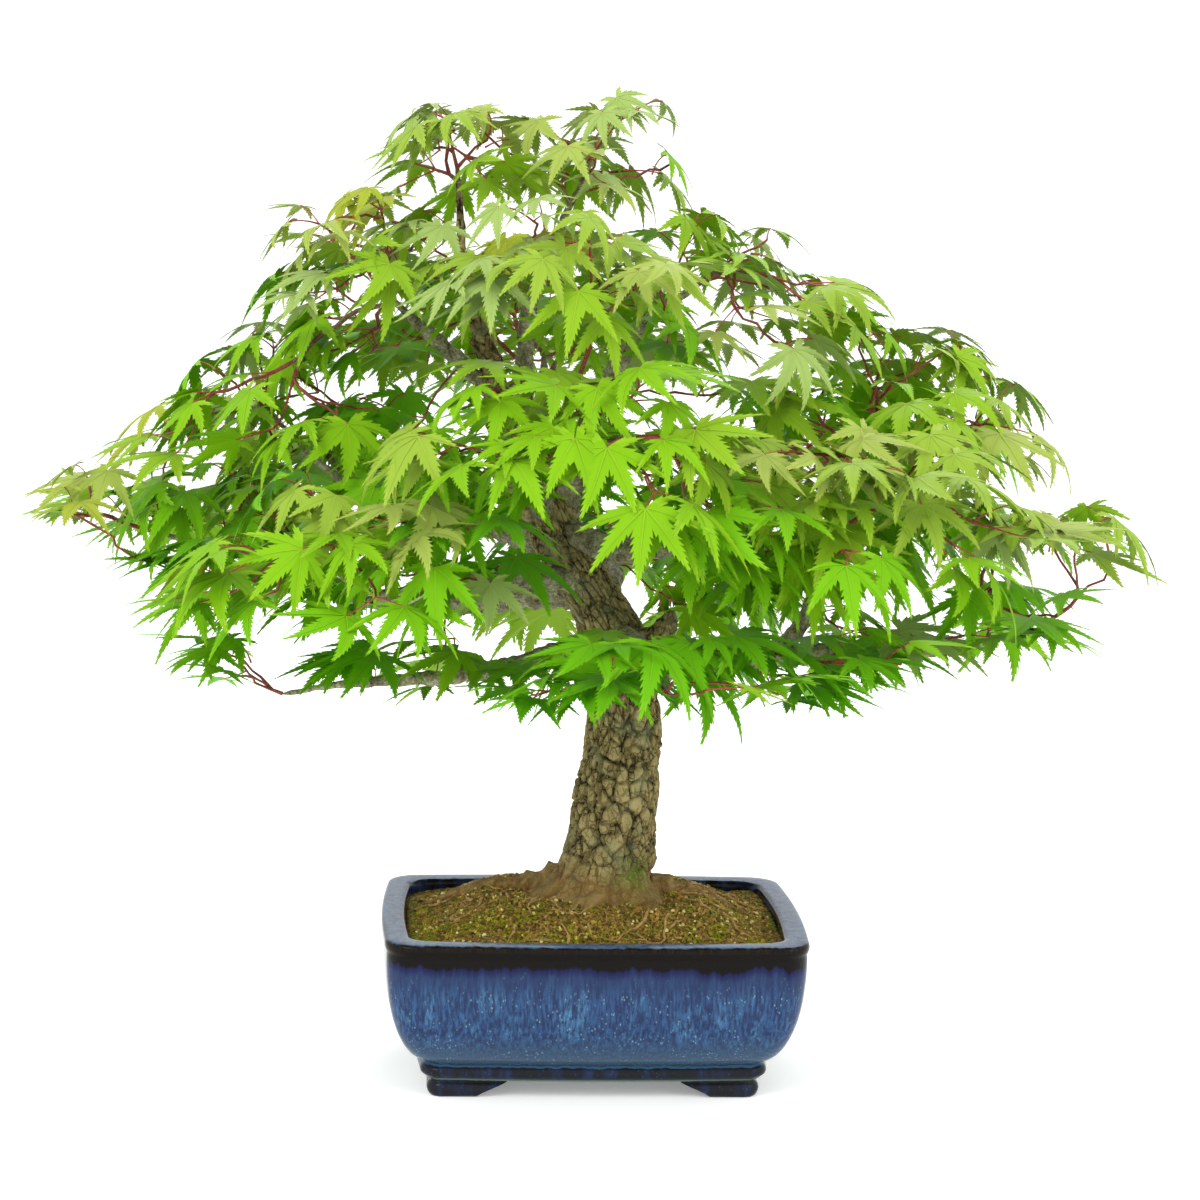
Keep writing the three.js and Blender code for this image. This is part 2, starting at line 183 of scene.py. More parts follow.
@dataclass
class Stock:
    """Corners and faces of one joined mesh, gathered bit by bit, in millimetres."""

    corners: list[np.ndarray] = field(default_factory=list)
    faces: list[tuple[int, ...]] = field(default_factory=list)
    kinds: list[int] = field(default_factory=list)
    count: int = 0

    def add(self, corners: np.ndarray, faces: Sequence[Sequence[int]], kinds: Sequence[int] = ()) -> None:
        """Adds one bit.

        Args:
            corners: Rows of x, y and z.
            faces: Corner numbers within this bit.
            kinds: Material number of each face, or nothing for 0.
        """
        start = self.count
        self.corners.append(np.asarray(corners, float))
        self.faces.extend(tuple(start + c for c in face) for face in faces)
        self.kinds.extend(kinds or [0] * len(faces))
        self.count += len(corners)

    def piece(self, name: str, *finishes: bpy.types.Material, soft_angle: float = 0.6) -> bpy.types.Object:
        """Makes the joined mesh an object with its materials."""
        mesh = bpy.data.meshes.new(name)
        mesh.from_pydata((np.vstack(self.corners) * MM).tolist(), [], self.faces)
        mesh.polygons.foreach_set("material_index", np.array(self.kinds, dtype=np.int32))
        for finish in finishes:
            mesh.materials.append(finish)
        made = bpy.data.objects.new(name, mesh)
        bpy.context.scene.collection.objects.link(made)
        take(made)
        bpy.ops.object.shade_smooth_by_angle(angle=soft_angle)
        return made


# Helpers for modelling by hand.


def open_mesh() -> None:
    """Goes into edit mode."""
    bpy.ops.object.mode_set(mode="EDIT")


def close_mesh() -> None:
    """Goes back to object mode."""
    bpy.ops.object.mode_set(mode="OBJECT")


def open_all() -> None:
    """Goes into edit mode with every edge of the mesh selected."""
    open_mesh()
    bpy.ops.mesh.select_mode(type="EDGE")
    bpy.ops.mesh.select_all(action="SELECT")


def face_outwards() -> None:
    """Turns every face of the mesh outwards and leaves edit mode."""
    bpy.ops.mesh.select_all(action="SELECT")
    bpy.ops.mesh.normals_make_consistent(inside=False)
    close_mesh()


def drop() -> None:
    """Leaves edit mode and deselects everything."""
    if bpy.context.object and bpy.context.object.mode != "OBJECT":
        close_mesh()
    bpy.ops.object.select_all(action="DESELECT")


def take(piece: bpy.types.Object, *more: bpy.types.Object) -> None:
    """Selects these objects alone and makes the first the active one."""
    drop()
    for each in (piece, *more):
        each.select_set(True)
    bpy.context.view_layer.objects.active = piece


def settle(piece: bpy.types.Object, name: str, slot: Slot, *nodes: str) -> bpy.types.Object:
    """Names a finished piece, puts its place in its mesh and hangs it on the model.

    Args:
        piece: The finished object.
        name: What the piece is called.
        slot: The material slot that it takes its finish from; not used.
        nodes: CAD nodes that it stands for.

    Returns:
        The same object.
    """
    take(piece)
    bpy.ops.object.transform_apply(location=True, rotation=True, scale=True)
    piece.name = name
    piece.data.name = name
    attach(piece, BODY)
    if nodes:
        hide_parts(*nodes)
    LOG.info("%s: %d faces", name, len(piece.data.polygons))
    return piece


def coordinates_of(piece: bpy.types.Object) -> np.ndarray:
    """The piece's corners as rows, in metres."""
    corners = np.empty(len(piece.data.vertices) * 3)
    piece.data.vertices.foreach_get("co", corners)
    return corners.reshape(-1, 3)


def put_coordinates(piece: bpy.types.Object, corners: np.ndarray) -> None:
    """Moves the piece's corners to these rows, in metres."""
    piece.data.vertices.foreach_set("co", corners.ravel())
    piece.data.update()


def mark(piece: bpy.types.Object, name: str, values: np.ndarray) -> None:
    """Stores a number for each corner, for the materials to read."""
    layer = piece.data.attributes.new(name, "FLOAT", "POINT")
    layer.data.foreach_set("value", np.asarray(values, np.float32))


def select_edges(piece: bpy.types.Object, test: Callable[[np.ndarray, np.ndarray], bool]) -> None:
    """Selects the edges whose two ends pass a test, ready for edit mode."""
    take(piece)
    open_mesh()
    bpy.ops.mesh.select_mode(type="EDGE")
    bpy.ops.mesh.select_all(action="DESELECT")
    close_mesh()
    corners = coordinates_of(piece)
    for line in piece.data.edges:
        line.select = bool(test(corners[line.vertices[0]], corners[line.vertices[1]]))
    open_mesh()


def straight_pole(sides: int, cuts: Sequence[int]) -> bpy.types.Object:
    """Makes a closed upright pole of radius 1 and height 1, with level rings cut round it."""
    drop()
    bpy.ops.mesh.primitive_cylinder_add(vertices=sides, radius=1, depth=1, location=(0, 0, 0.5))
    pole = bpy.context.object
    bpy.ops.object.transform_apply(location=True)
    for number in cuts:
        select_edges(pole, lambda a, b: abs(a[2] - b[2]) > 1e-4)
        bpy.ops.mesh.subdivide(number_cuts=number)
        close_mesh()
    return pole


def raise_rings(rings: Sequence[np.ndarray]) -> bpy.types.Object:
    """Extrudes a loop from ring to ring and closes both ends.

    Args:
        rings: Equal rings of corners, in millimetres, in the order that they are joined.

    Returns:
        The closed shell, with its faces outwards.
    """
    drop()
    bpy.ops.mesh.primitive_circle_add(vertices=len(rings[0]), fill_type="NOTHING")
    shell = bpy.context.object
    put_coordinates(shell, rings[0] * MM)
    open_all()
    bpy.ops.mesh.edge_face_add()
    bpy.ops.mesh.select_all(action="SELECT")
    close_mesh()
    for before, after in zip(rings, rings[1:]):
        open_mesh()
        bpy.ops.mesh.extrude_region_move()
        close_mesh()
        for corner in shell.data.vertices:
            if corner.select:
                old = np.array(corner.co) / MM
                nearest = np.argmin(np.linalg.norm(before - old, axis=1))
                corner.co = after[nearest] * MM
    open_mesh()
    face_outwards()
    return shell


# Finishes.


def paint(red: int, green: int, blue: int) -> Colour:
    """A paint-chart colour, 0 to 255 a channel, as the linear light that a shader takes."""
    def linear(level: int) -> float:
        """One channel's linear light."""
        share = level / 255
        return share / 12.92 if share <= 0.04045 else ((share + 0.055) / 1.055) ** 2.4
    return linear(red), linear(green), linear(blue), 1.0


class Desk:
    """A material and its node tree, with short ways to add the nodes that the finishes share."""

    def __init__(self, name: str, roughness: float, specular: float = 0.5) -> None:
        """Starts a material.

        Args:
            name: The material's name.
            roughness: Set on the shader's own socket.
            specular: Strength of the shine, set the same way.
        """
        self.material = bpy.data.materials.new(name)
        self.material.use_nodes = True
        self.tree = self.material.node_tree
        self.shader = self.tree.nodes["Principled BSDF"]
        self.shader.inputs["Roughness"].default_value = roughness
        self.shader.inputs["Specular IOR Level"].default_value = specular
        self.place = self.node("ShaderNodeTexCoord").outputs["Object"]

    def node(self, kind: str, **settings: object) -> bpy.types.Node:
        """Adds a node with its settings."""
        made = self.tree.nodes.new(kind)
        for name, value in settings.items():
            setattr(made, name, value)
        return made

    def join(self, source: object, target: bpy.types.NodeSocket) -> None:
        """Links a socket to another, or sets a number or colour on it."""
        if isinstance(source, bpy.types.NodeSocket):
            self.tree.links.new(source, target)
        else:
            target.default_value = source

    def stretched(self, x: float, y: float, z: float) -> bpy.types.NodeSocket:
        """Object coordinates scaled by these, so a pattern is drawn out where the number is small."""
        mapping = self.node("ShaderNodeMapping")
        self.join(self.place, mapping.inputs["Vector"])
        mapping.inputs["Scale"].default_value = (x, y, z)
        return mapping.outputs["Vector"]

    def clouds(self, size: float, detail: float = 3, rough: float = 0.55,
               at: bpy.types.NodeSocket | None = None) -> bpy.types.NodeSocket:
        """Soft noise whose patches are about size millimetres across."""
        made = self.node("ShaderNodeTexNoise")
        self.join(at or self.place, made.inputs["Vector"])
        made.inputs["Scale"].default_value = 1 / (size * MM)
        made.inputs["Detail"].default_value = detail
        made.inputs["Roughness"].default_value = rough
        return made.outputs["Fac"]

    def cells(self, size: float, feature: str = "F1",
              at: bpy.types.NodeSocket | None = None) -> bpy.types.Node:
        """Cells about size millimetres across."""
        made = self.node("ShaderNodeTexVoronoi", feature=feature)
        self.join(at or self.place, made.inputs["Vector"])
        made.inputs["Scale"].default_value = 1 / (size * MM)
        return made

    def height(self) -> bpy.types.NodeSocket:
        """Height above the floor, in metres."""
        parts = self.node("ShaderNodeSeparateXYZ")
        self.join(self.place, parts.inputs[0])
        return parts.outputs["Z"]

    def band(self, value: object, low: float, high: float) -> bpy.types.NodeSocket:
        """Eases from 0 where the value is low to 1 where it is high."""
        made = self.node("ShaderNodeMapRange", interpolation_type="SMOOTHSTEP")
        self.join(value, made.inputs["Value"])
        made.inputs["From Min"].default_value = low
        made.inputs["From Max"].default_value = high
        return made.outputs["Result"]

    def between(self, value: object, rising: Zone, falling: Zone) -> bpy.types.NodeSocket:
        """Is 1 between two levels, easing from 0 over the rising zone and back over the falling one."""
        return self.sum("MULTIPLY", self.band(value, *rising), self.band(value, *falling))

    def sum(self, operation: str, first: object, second: object = 0.0,
            third: float = 0.0) -> bpy.types.NodeSocket:
        """Works out one step of arithmetic."""
        made = self.node("ShaderNodeMath", operation=operation)
        self.join(first, made.inputs[0])
        self.join(second, made.inputs[1])
        made.inputs[2].default_value = third
        return made.outputs[0]

    def ramp(self, value: bpy.types.NodeSocket, *stops: tuple[float, Colour]) -> bpy.types.NodeSocket:
        """Colours along a value from 0 to 1."""
        made = self.node("ShaderNodeValToRGB")
        marks = made.color_ramp.elements
        for _ in stops[2:]:
            marks.new(0.5)
        for element, (place, _) in zip(marks, stops):
            element.position = place
        for element, (_, colour) in zip(marks, stops):
            element.color = colour
        self.join(value, made.inputs[0])
        return made.outputs["Color"]

    def blend(self, share: object, under: object, over: object) -> bpy.types.NodeSocket:
        """Lays one colour over another by a share."""
        made = self.node("ShaderNodeMix", data_type="RGBA")
        self.join(share, made.inputs[0])
        self.join(under, made.inputs[6])
        self.join(over, made.inputs[7])
        return made.outputs[2]

    def coat(self, colour: object) -> None:
        """Gives the shader its colour."""
        self.join(colour, self.shader.inputs["Base Color"])

    def relief(self, height: bpy.types.NodeSocket, depth: float, strength: float = 1.0) -> None:
        """Adds a fine bump, depth millimetres deep."""
        bump = self.node("ShaderNodeBump")
        bump.inputs["Strength"].default_value = strength
        bump.inputs["Distance"].default_value = depth * MM
        self.join(height, bump.inputs["Height"])
        self.join(bump.outputs["Normal"], self.shader.inputs["Normal"])

    def stored(self, name: str) -> bpy.types.NodeSocket:
        """A number stored on the mesh."""
        return self.node("ShaderNodeAttribute", attribute_name=name).outputs["Fac"]


@dataclass(frozen=True)
class PotGlaze:
    """Running blue glaze: black under the lip, streaked and flecked blue below, pale on the lip, where the
    paleness is partly a painted sheen.
    """

    ink: Colour = paint(14, 10, 8)
    brown: Colour = paint(52, 38, 22)
    cobalt: Colour = paint(24, 30, 70)
    navy: Colour = paint(38, 50, 84)
    blue: Colour = paint(52, 82, 122)
    light: Colour = paint(88, 140, 178)
    teal: Colour = paint(64, 86, 104)
    fleck: Colour = paint(150, 196, 204)
    # Partly a painted sheen: the lip's flat top is made paler for the sky shining on it.
    lip: Colour = paint(92, 108, 134)
    lip_edge: Colour = paint(56, 78, 116)
    foot: Colour = paint(30, 31, 36)
    moss_green: Colour = paint(92, 112, 100)
    seam_zone: tuple[Zone, Zone] = ((0.0084, 0.0092), (0.0112, 0.0104))
    ledge_zone: tuple[Zone, Zone] = ((0.0177, 0.0181), (0.0190, 0.0186))
    body_zone: Zone = (0.0188, 0.0194)
    teal_zone: Zone = (0.040, 0.019)
    pale_zone: tuple[Zone, Zone] = ((0.022, 0.044), (0.074, 0.058))
    navy_zone: Zone = (0.056, 0.070)
    cobalt_zone: Zone = (0.0690, 0.0740)
    ink_zone: Zone = (0.0735, 0.0755)
    rust_zone: Zone = (0.0815, 0.0840)
    lip_edge_zone: Zone = (0.0853, 0.0857)
    lip_zone: Zone = (0.0856, 0.0859)
    inner_zone: Zone = (0.05, 0.06)
    inner_half: tuple[float, float] = (0.0985, 0.0685)

    def make(self) -> bpy.types.Material:
        """Builds the material."""
        desk = Desk("running_blue_glaze", 0.1, 0.1)
        tall = desk.stretched(1, 1, 0.1)
        streaks = desk.clouds(1.4, 4, 0.7, tall)
        wide_streaks = desk.clouds(9, 4, 0.65, desk.stretched(1, 1, 0.25))
        drips = desk.clouds(7, 2, 0.5, desk.stretched(1, 1, 0.05))
        fine_drips = desk.clouds(1.8, 2, 0.6, tall)
        body = desk.blend(desk.band(streaks, 0.4, 0.66), self.navy, self.blue)
        pale = desk.sum("MULTIPLY", desk.band(wide_streaks, 0.46, 0.72), desk.band(streaks, 0.36, 0.62))
        height = desk.height()
        middle = desk.between(height, *self.pale_zone)
        pale = desk.sum("MULTIPLY", desk.sum("MULTIPLY", pale, desk.band(middle, -0.3, 1.0)), 0.46)
        body = desk.blend(pale, body, self.light)
        low = desk.band(height, *self.teal_zone)
        body = desk.blend(desk.sum("MULTIPLY", low, 0.75), body, self.teal)
        spots = desk.cells(1.7, at=desk.stretched(1, 1, 0.6)).outputs["Distance"]
        where = desk.band(desk.clouds(8, 4, 0.65), 0.44, 0.62)
        spots = desk.sum("MULTIPLY", desk.band(spots, 0.3, 0.1), where)
        body = desk.blend(desk.sum("MULTIPLY", spots, 0.45), body, self.fleck)
        run = desk.sum("MULTIPLY_ADD", drips, 0.010, -0.005)
        run = desk.sum("ADD", desk.sum("ADD", height, run), desk.sum("MULTIPLY", fine_drips, 0.003))
        body = desk.blend(desk.sum("MULTIPLY", desk.band(run, *self.navy_zone), 0.75), body, self.navy)
        body = desk.blend(desk.band(run, *self.cobalt_zone), body, self.cobalt)
        body = desk.blend(desk.band(run, *self.ink_zone), body, self.ink)
        rust = desk.sum("MULTIPLY", desk.band(height, *self.rust_zone), desk.band(streaks, 0.4, 0.7))
        body = desk.blend(desk.sum("MULTIPLY", rust, 0.7), body, self.brown)
        sides = desk.node("ShaderNodeSeparateXYZ")
        desk.join(desk.place, sides.inputs[0])
        across = desk.sum("DIVIDE", desk.sum("ABSOLUTE", sides.outputs["X"]), self.inner_half[0])
        along = desk.sum("DIVIDE", desk.sum("ABSOLUTE", sides.outputs["Y"]), self.inner_half[1])
        within = desk.band(desk.sum("MAXIMUM", across, along), 1.0, 0.99)
        within = desk.sum("MULTIPLY", within, desk.band(height, *self.inner_zone))
        inner = desk.blend(desk.band(wide_streaks, 0.4, 0.7), self.ink, self.navy)
        body = desk.blend(within, body, inner)
        edge = desk.sum("ADD", height, desk.sum("MULTIPLY", desk.clouds(5, 2), 0.0016))
        body = desk.blend(desk.band(edge, *self.lip_edge_zone), body, self.lip_edge)
        # The lip's pale blue-grey is partly the glaze's own mottle and partly a painted sheen of the sky on
        # the flat top.
        lip = desk.blend(desk.band(desk.clouds(2, 4, 0.7), 0.35, 0.7), self.lip, self.lip_edge)
        patches = desk.band(desk.clouds(6, 4, 0.7), 0.55, 0.7)
        lip = desk.blend(desk.sum("MULTIPLY", patches, 0.6), lip, self.teal)
        body = desk.blend(desk.band(edge, *self.lip_zone), body, lip)
        base = desk.blend(desk.band(wide_streaks, 0.46, 0.75), self.foot, self.navy)
        base = desk.blend(desk.sum("MULTIPLY", spots, 0.5), base, self.teal)
        ledge = desk.between(edge, *self.ledge_zone)
        base = desk.blend(desk.sum("MULTIPLY", ledge, 0.45), base, self.light)
        seam = desk.between(height, *self.seam_zone)
        base = desk.blend(desk.sum("MULTIPLY", seam, 0.8), base, self.moss_green)
        desk.coat(desk.blend(desk.band(edge, *self.body_zone), base, body))
        desk.relief(desk.sum("ADD", streaks, wide_streaks), 0.12, 0.5)
        return desk.material


@dataclass(frozen=True)
class OldBark:
    """Corky grey-brown plates over dark fissures, earthy near the soil, with a little moss; the fissures'
    darkness is partly painted shade.
    """

    # Near black: used deep in the fissures, partly as painted shade, and as dark crumbs near the soil.
    fissure: Colour = paint(24, 19, 10)
    edge: Colour = paint(88, 76, 42)
    plate: Colour = paint(128, 114, 70)
    pale: Colour = paint(170, 155, 105)
    earth: Colour = paint(146, 106, 58)
    moss: Colour = paint(84, 110, 28)
    lichen: Colour = paint(132, 136, 100)
    crack_size: float = 3.2
    soiled_zone: Zone = ((CUT + 28) * MM, (CUT + 10) * MM)

    def make(self) -> bpy.types.Material:
        """Builds the material."""
        desk = Desk("corky_bark", 0.88, 0.25)
        fine = desk.clouds(1.3, 6, 0.72)
        broad = desk.clouds(9, 3)
        cells = desk.cells(self.crack_size, "DISTANCE_TO_EDGE", desk.stretched(1, 1, 0.7))
        cracks = cells.outputs["Distance"]
        cracks = desk.sum("MULTIPLY", desk.band(cracks, 0.13, 0.0), desk.band(broad, 0.36, 0.56))
        depth = desk.sum("ADD", desk.stored("relief"), desk.sum("MULTIPLY", fine, 0.9))
        depth = desk.sum("SUBTRACT", depth, desk.sum("MULTIPLY_ADD", cracks, 0.45, 0.45))
        # The colour darkens with depth into the fissures: partly the bark's own darker colour there, partly
        # painted shade in the cracks.
        bark = desk.ramp(depth, (0.12, self.fissure), (0.32, self.edge), (0.60, self.plate),
                         (0.98, self.pale))
        tint = desk.blend(desk.band(broad, 0.4, 0.7), bark, self.edge)
        bark = desk.blend(0.35, bark, tint)
        green = desk.band(desk.clouds(16, 3), 0.5, 0.66)
        bark = desk.blend(desk.sum("MULTIPLY", green, 0.4), bark, self.lichen)
        height = desk.sum("ADD", desk.height(), desk.sum("MULTIPLY", desk.clouds(5, 3), 0.012))
        soiled = desk.band(height, *self.soiled_zone)
        earthy = desk.blend(desk.band(fine, 0.35, 0.68), self.fissure, self.earth)
        earthy = desk.blend(0.6, earthy, bark)
        bark = desk.blend(soiled, bark, desk.blend(0.72, bark, self.earth))
        bark = desk.blend(desk.sum("MULTIPLY", soiled, 0.3), bark, earthy)
        mossy = desk.sum("MULTIPLY", desk.stored("moss"), desk.band(desk.clouds(1.6, 3), 0.42, 0.56))
        desk.coat(desk.blend(mossy, bark, self.moss))
        desk.relief(depth, 0.9, 0.9)
        return desk.material


@dataclass(frozen=True)
class YoungBark:
    """Smoother bark of boughs and twigs, mottled between a dark and a light shade."""

    name: str
    dark: Colour
    middle: Colour
    light: Colour
    patch: float = 6.0
    grain: float = 0.9
    roughness: float = 0.75

    def make(self) -> bpy.types.Material:
        """Builds the material."""
        desk = Desk(self.name, self.roughness, 0.3)
        grain = desk.clouds(self.grain, 5, 0.68)
        patches = desk.clouds(self.patch, 3)
        mixed = desk.sum("ADD", desk.sum("MULTIPLY", grain, 0.55), desk.sum("MULTIPLY", patches, 0.45))
        desk.coat(desk.ramp(mixed, (0.38, self.dark), (0.5, self.middle), (0.62, self.light)))
        desk.relief(grain, 0.4, 0.8)
        return desk.material


@dataclass(frozen=True)
class Earth:
    """Moist soil: dark crumbs, brown and ochre grains, with olive moss over patches."""

    dark: Colour = paint(42, 31, 10)
    brown: Colour = paint(122, 94, 40)
    ochre: Colour = paint(190, 158, 82)
    olive: Colour = paint(110, 104, 14)
    moss: Colour = paint(166, 156, 36)

    def make(self) -> bpy.types.Material:
        """Builds the material."""
        desk = Desk("moist_soil", 0.92, 0.2)
        crumbs = desk.clouds(1.7, 6, 0.74)
        soil = desk.ramp(crumbs, (0.38, self.dark), (0.5, self.brown), (0.64, self.ochre))
        green = desk.ramp(crumbs, (0.38, self.dark), (0.5, self.olive), (0.62, self.moss))
        patches = desk.sum("MULTIPLY", desk.band(desk.clouds(17, 4, 0.65), 0.47, 0.58), desk.stored("open"))
        desk.coat(desk.blend(patches, soil, green))
        desk.relief(crumbs, 1.2, 1.0)
        return desk.material


@dataclass(frozen=True)
class Mottled:
    """Small things that each take their own shade from a scatter of cells."""

    name: str
    shades: tuple[Colour, Colour, Colour, Colour]
    size: float = 2.6
    roughness: float = 0.85

    def make(self) -> bpy.types.Material:
        """Builds the material."""
        desk = Desk(self.name, self.roughness, 0.3)
        parts = desk.node("ShaderNodeSeparateColor")
        desk.join(desk.cells(self.size).outputs["Color"], parts.inputs[0])
        stops = zip((0.1, 0.4, 0.65, 0.9), self.shades)
        desk.coat(desk.ramp(parts.outputs[0], *stops))
        desk.relief(desk.clouds(0.5, 3), 0.15, 0.6)
        return desk.material


# The yellow that leaves ripen to, and how far a leaf's blade, its lobe tips and its veins have turned.
RIPE = (206, 212, 110)
LEAF_SHARES = (0.0, 0.14, 0.16)


class LeafTint(Enum):
    """The greens that sprays are dealt, from deep inside the crown to its sunny outside. They are painted
    light: the shaded greens are saturated to stand in for light shining through the leaves, and the sunny
    ones are paler, as lit leaves look.
    """

    # Painted light: from a saturated green for shaded sprays, standing in for light through the leaves, to
    # paler greens for sunlit ones.
    DEEP = (98, 166, 16)
    SHADE = (108, 170, 16)
    MIDDLE = (119, 171, 18)
    FRESH = (128, 168, 32)
    BRIGHT = (136, 166, 52)
    LIME = (150, 169, 74)
    # Painted sheen: a pale grey-green that stands for the sky's shine on the tops of high, open leaves.
    PALE = (145, 170, 90)
    OLIVE = (150, 164, 44)

    def finish(self, yellowing: float, roughness: float = 0.5, shine: float = 0.07) -> bpy.types.Material:
        """A leaf's colour, shifted towards the yellow of a lobe's tip by a share."""
        mixed = [round(a + (b - a) * yellowing) for a, b in zip(self.value, RIPE)]
        made = bpy.data.materials.new(f"leaf_{self.name.lower()}_{round(yellowing * 100)}")
        made.use_nodes = True
        shader = made.node_tree.nodes["Principled BSDF"]
        shader.inputs["Base Color"].default_value = paint(*mixed)
        shader.inputs["Roughness"].default_value = roughness
        shader.inputs["Specular IOR Level"].default_value = shine
        return made


# The tints that are dealt by how much light a spray gets, as painted light and shade; pale sheen and olive
# come in between by chance, more often where a spray is open to the sky.
SHADE_TO_SUN = tuple(LeafTint)[:6]


# The pot and what is in it.


@dataclass
class Pot:
    """Rectangular glazed pot with rounded corners, a base moulding and four bracket feet."""

    width: float = 220
    depth: float = 160
    corner: float = 16
    least_corner: float = 4
    bow: float = 2.5
    lip_rings: tuple[tuple[float, float], ...] = (
        (78.4, 0.95), (79.2, 0.8), (79.9, 0.5), (80.8, 0.2), (82.2, 0), (83.6, 0.15), (84.4, 0.6),
        (84.8, 1.2), (85, 2.2), (85, 5), (85, 9), (84.9, 10.4), (84.5, 11.5), (83.8, 12.2), (82, 12.8))
    base_rings: tuple[tuple[float, float], ...] = (
        (9, 26), (9.2, 22.8), (9.9, 21.2), (10.7, 20.6), (11.4, 20), (12.4, 19), (13.8, 18.6),
        (15.2, 18.7), (16.4, 19.3), (17.3, 20.2), (17.9, 21), (18.4, 21.1), (19, 20.3), (20, 18),
        (21.5, 15.6))
    body_rings: tuple[tuple[float, float], ...] = (
        (24, 13), (27, 10.9), (30, 9.2), (34, 7.4), (38, 5.9), (43, 4.4), (48, 3.3), (53, 2.4), (59, 1.7),
        (66, 1.1), (72, 0.9), (77, 0.9))
    inside_rings: tuple[tuple[float, float], ...] = (
        (76, 13), (66, 13), (52, 15), (40, 19), (29, 26), (18, 34))
    foot_inset: float = 25.5
    foot_length: float = 40
    foot_side: float = 30
    foot_thickness: float = 13
    foot_corner: float = 7
    foot_rings: tuple[tuple[float, float, float], ...] = (
        (0, 0.6, -1.2), (0.7, 0.63, -0.3), (2.2, 0.68, 0.5), (4.2, 0.78, 0.9), (6, 0.89, 0.5),
        (7.2, 0.96, -0.3), (7.9, 1, -1.1), (10.5, 1, -1.1))
    drain_radius: float = 8
    drain_spacing: float = 80
    soft_angle: float = 50
    foot_steps: int = 6

    def outline(self, level: float, inset: float, per_corner: int = 9, per_side: int = 11) -> np.ndarray:
        """One level ring of the pot.

        Args:
            level: Height above the floor.
            inset: Distance in from the lip.
            per_corner: Corners of the mesh round each corner of the pot.
            per_side: Corners of the mesh along each side.

        Returns:
            Rows of x, y and z in millimetres.
        """
        half = np.array([self.width / 2 - inset, self.depth / 2 - inset])
        radius = max(self.least_corner, self.corner - 0.3 * inset)
        middle = half - self.bow - radius
        ring = []
        for i, (sign_x, sign_y) in enumerate(((1, 1), (-1, 1), (-1, -1), (1, -1))):
            for k in range(per_corner):
                turn = math.radians(90 * i + 90 * k / (per_corner - 1))
                ring.append((sign_x * middle[0] + radius * math.cos(turn),
                             sign_y * middle[1] + radius * math.sin(turn)))
            way = ((-1, 0), (0, -1), (1, 0), (0, 1))[i]
            out = ((0, 1), (-1, 0), (0, -1), (1, 0))[i]
            run = middle[0] if way[0] else middle[1]
            reach = (middle[1] if way[0] else middle[0]) + radius
            for k in range(1, per_side + 1):
                share = 2 * k / (per_side + 1) - 1
                away = reach + self.bow * (1 - share ** 2)
                ring.append((way[0] * run * share + out[0] * away, way[1] * run * share + out[1] * away))
        return np.column_stack([np.array(ring), np.full(len(ring), level)])

    def foot_outline(self, sign_x: int, sign_y: int, level: float, share: float, proud: float) -> np.ndarray:
        """One level ring of the bracket foot at a corner of the pot.

        Args:
            sign_x: Which end of the pot.
            sign_y: Which side of the pot.
            level: Height above the floor.
            share: How much of its full length each arm has at this level.
            proud: How far its outer faces stand out.

        Returns:
            Rows of x, y and z in millimetres.
        """
        round_off, thick = self.foot_corner, self.foot_thickness
        long_end, side_end = self.foot_length * share, self.foot_side * share
        ring = [(long_end, -proud), (long_end, thick), (thick, thick), (thick, side_end), (-proud, side_end)]
        for k in range(self.foot_steps + 1):
            turn = math.radians(180 + 90 * k / self.foot_steps)
            ring.append((round_off + (round_off + proud) * math.cos(turn),
                         round_off + (round_off + proud) * math.sin(turn)))
        ring = np.array(ring)
        half_x, half_y = self.width / 2 - self.foot_inset, self.depth / 2 - self.foot_inset
        return np.column_stack([sign_x * (half_x - ring[:, 0]), sign_y * (half_y - ring[:, 1]),
                                np.full(len(ring), level)])

    def drill(self, bowl: bpy.types.Object) -> None:
        """Cuts the two drain holes through the floor."""
        for sign in (-1, 1):
            drop()
            bpy.ops.mesh.primitive_cylinder_add(
                vertices=32, radius=self.drain_radius * MM, depth=self.foot_length * MM,
                location=(sign * self.drain_spacing / 2 * MM, 0, self.base_rings[0][0] * MM))
            drill = bpy.context.object
            take(bowl)
            cut = bowl.modifiers.new("drain", "BOOLEAN")
            cut.object = drill
            bpy.ops.object.modifier_apply(modifier=cut.name)
            bpy.data.objects.remove(drill)

    def build(self) -> bpy.types.Object:
        """Makes the pot with its feet, and glazes it."""
        profile = self.base_rings + self.body_rings + self.lip_rings + self.inside_rings
        bowl = raise_rings([self.outline(level, inset) for level, inset in profile])
        self.drill(bowl)
        feet = []
        for sign_x in (-1, 1):
            for sign_y in (-1, 1):
                rings = [self.foot_outline(sign_x, sign_y, *ring) for ring in self.foot_rings]
                feet.append(raise_rings(rings))
        take(bowl, *feet)
        bpy.ops.object.join()
        bpy.ops.object.shade_smooth_by_angle(angle=math.radians(self.soft_angle))
        bowl.data.materials.clear()
        bowl.data.materials.append(PotGlaze().make())
        return settle(bowl, "glazed_pot", Slot.GLAZE, "pot")


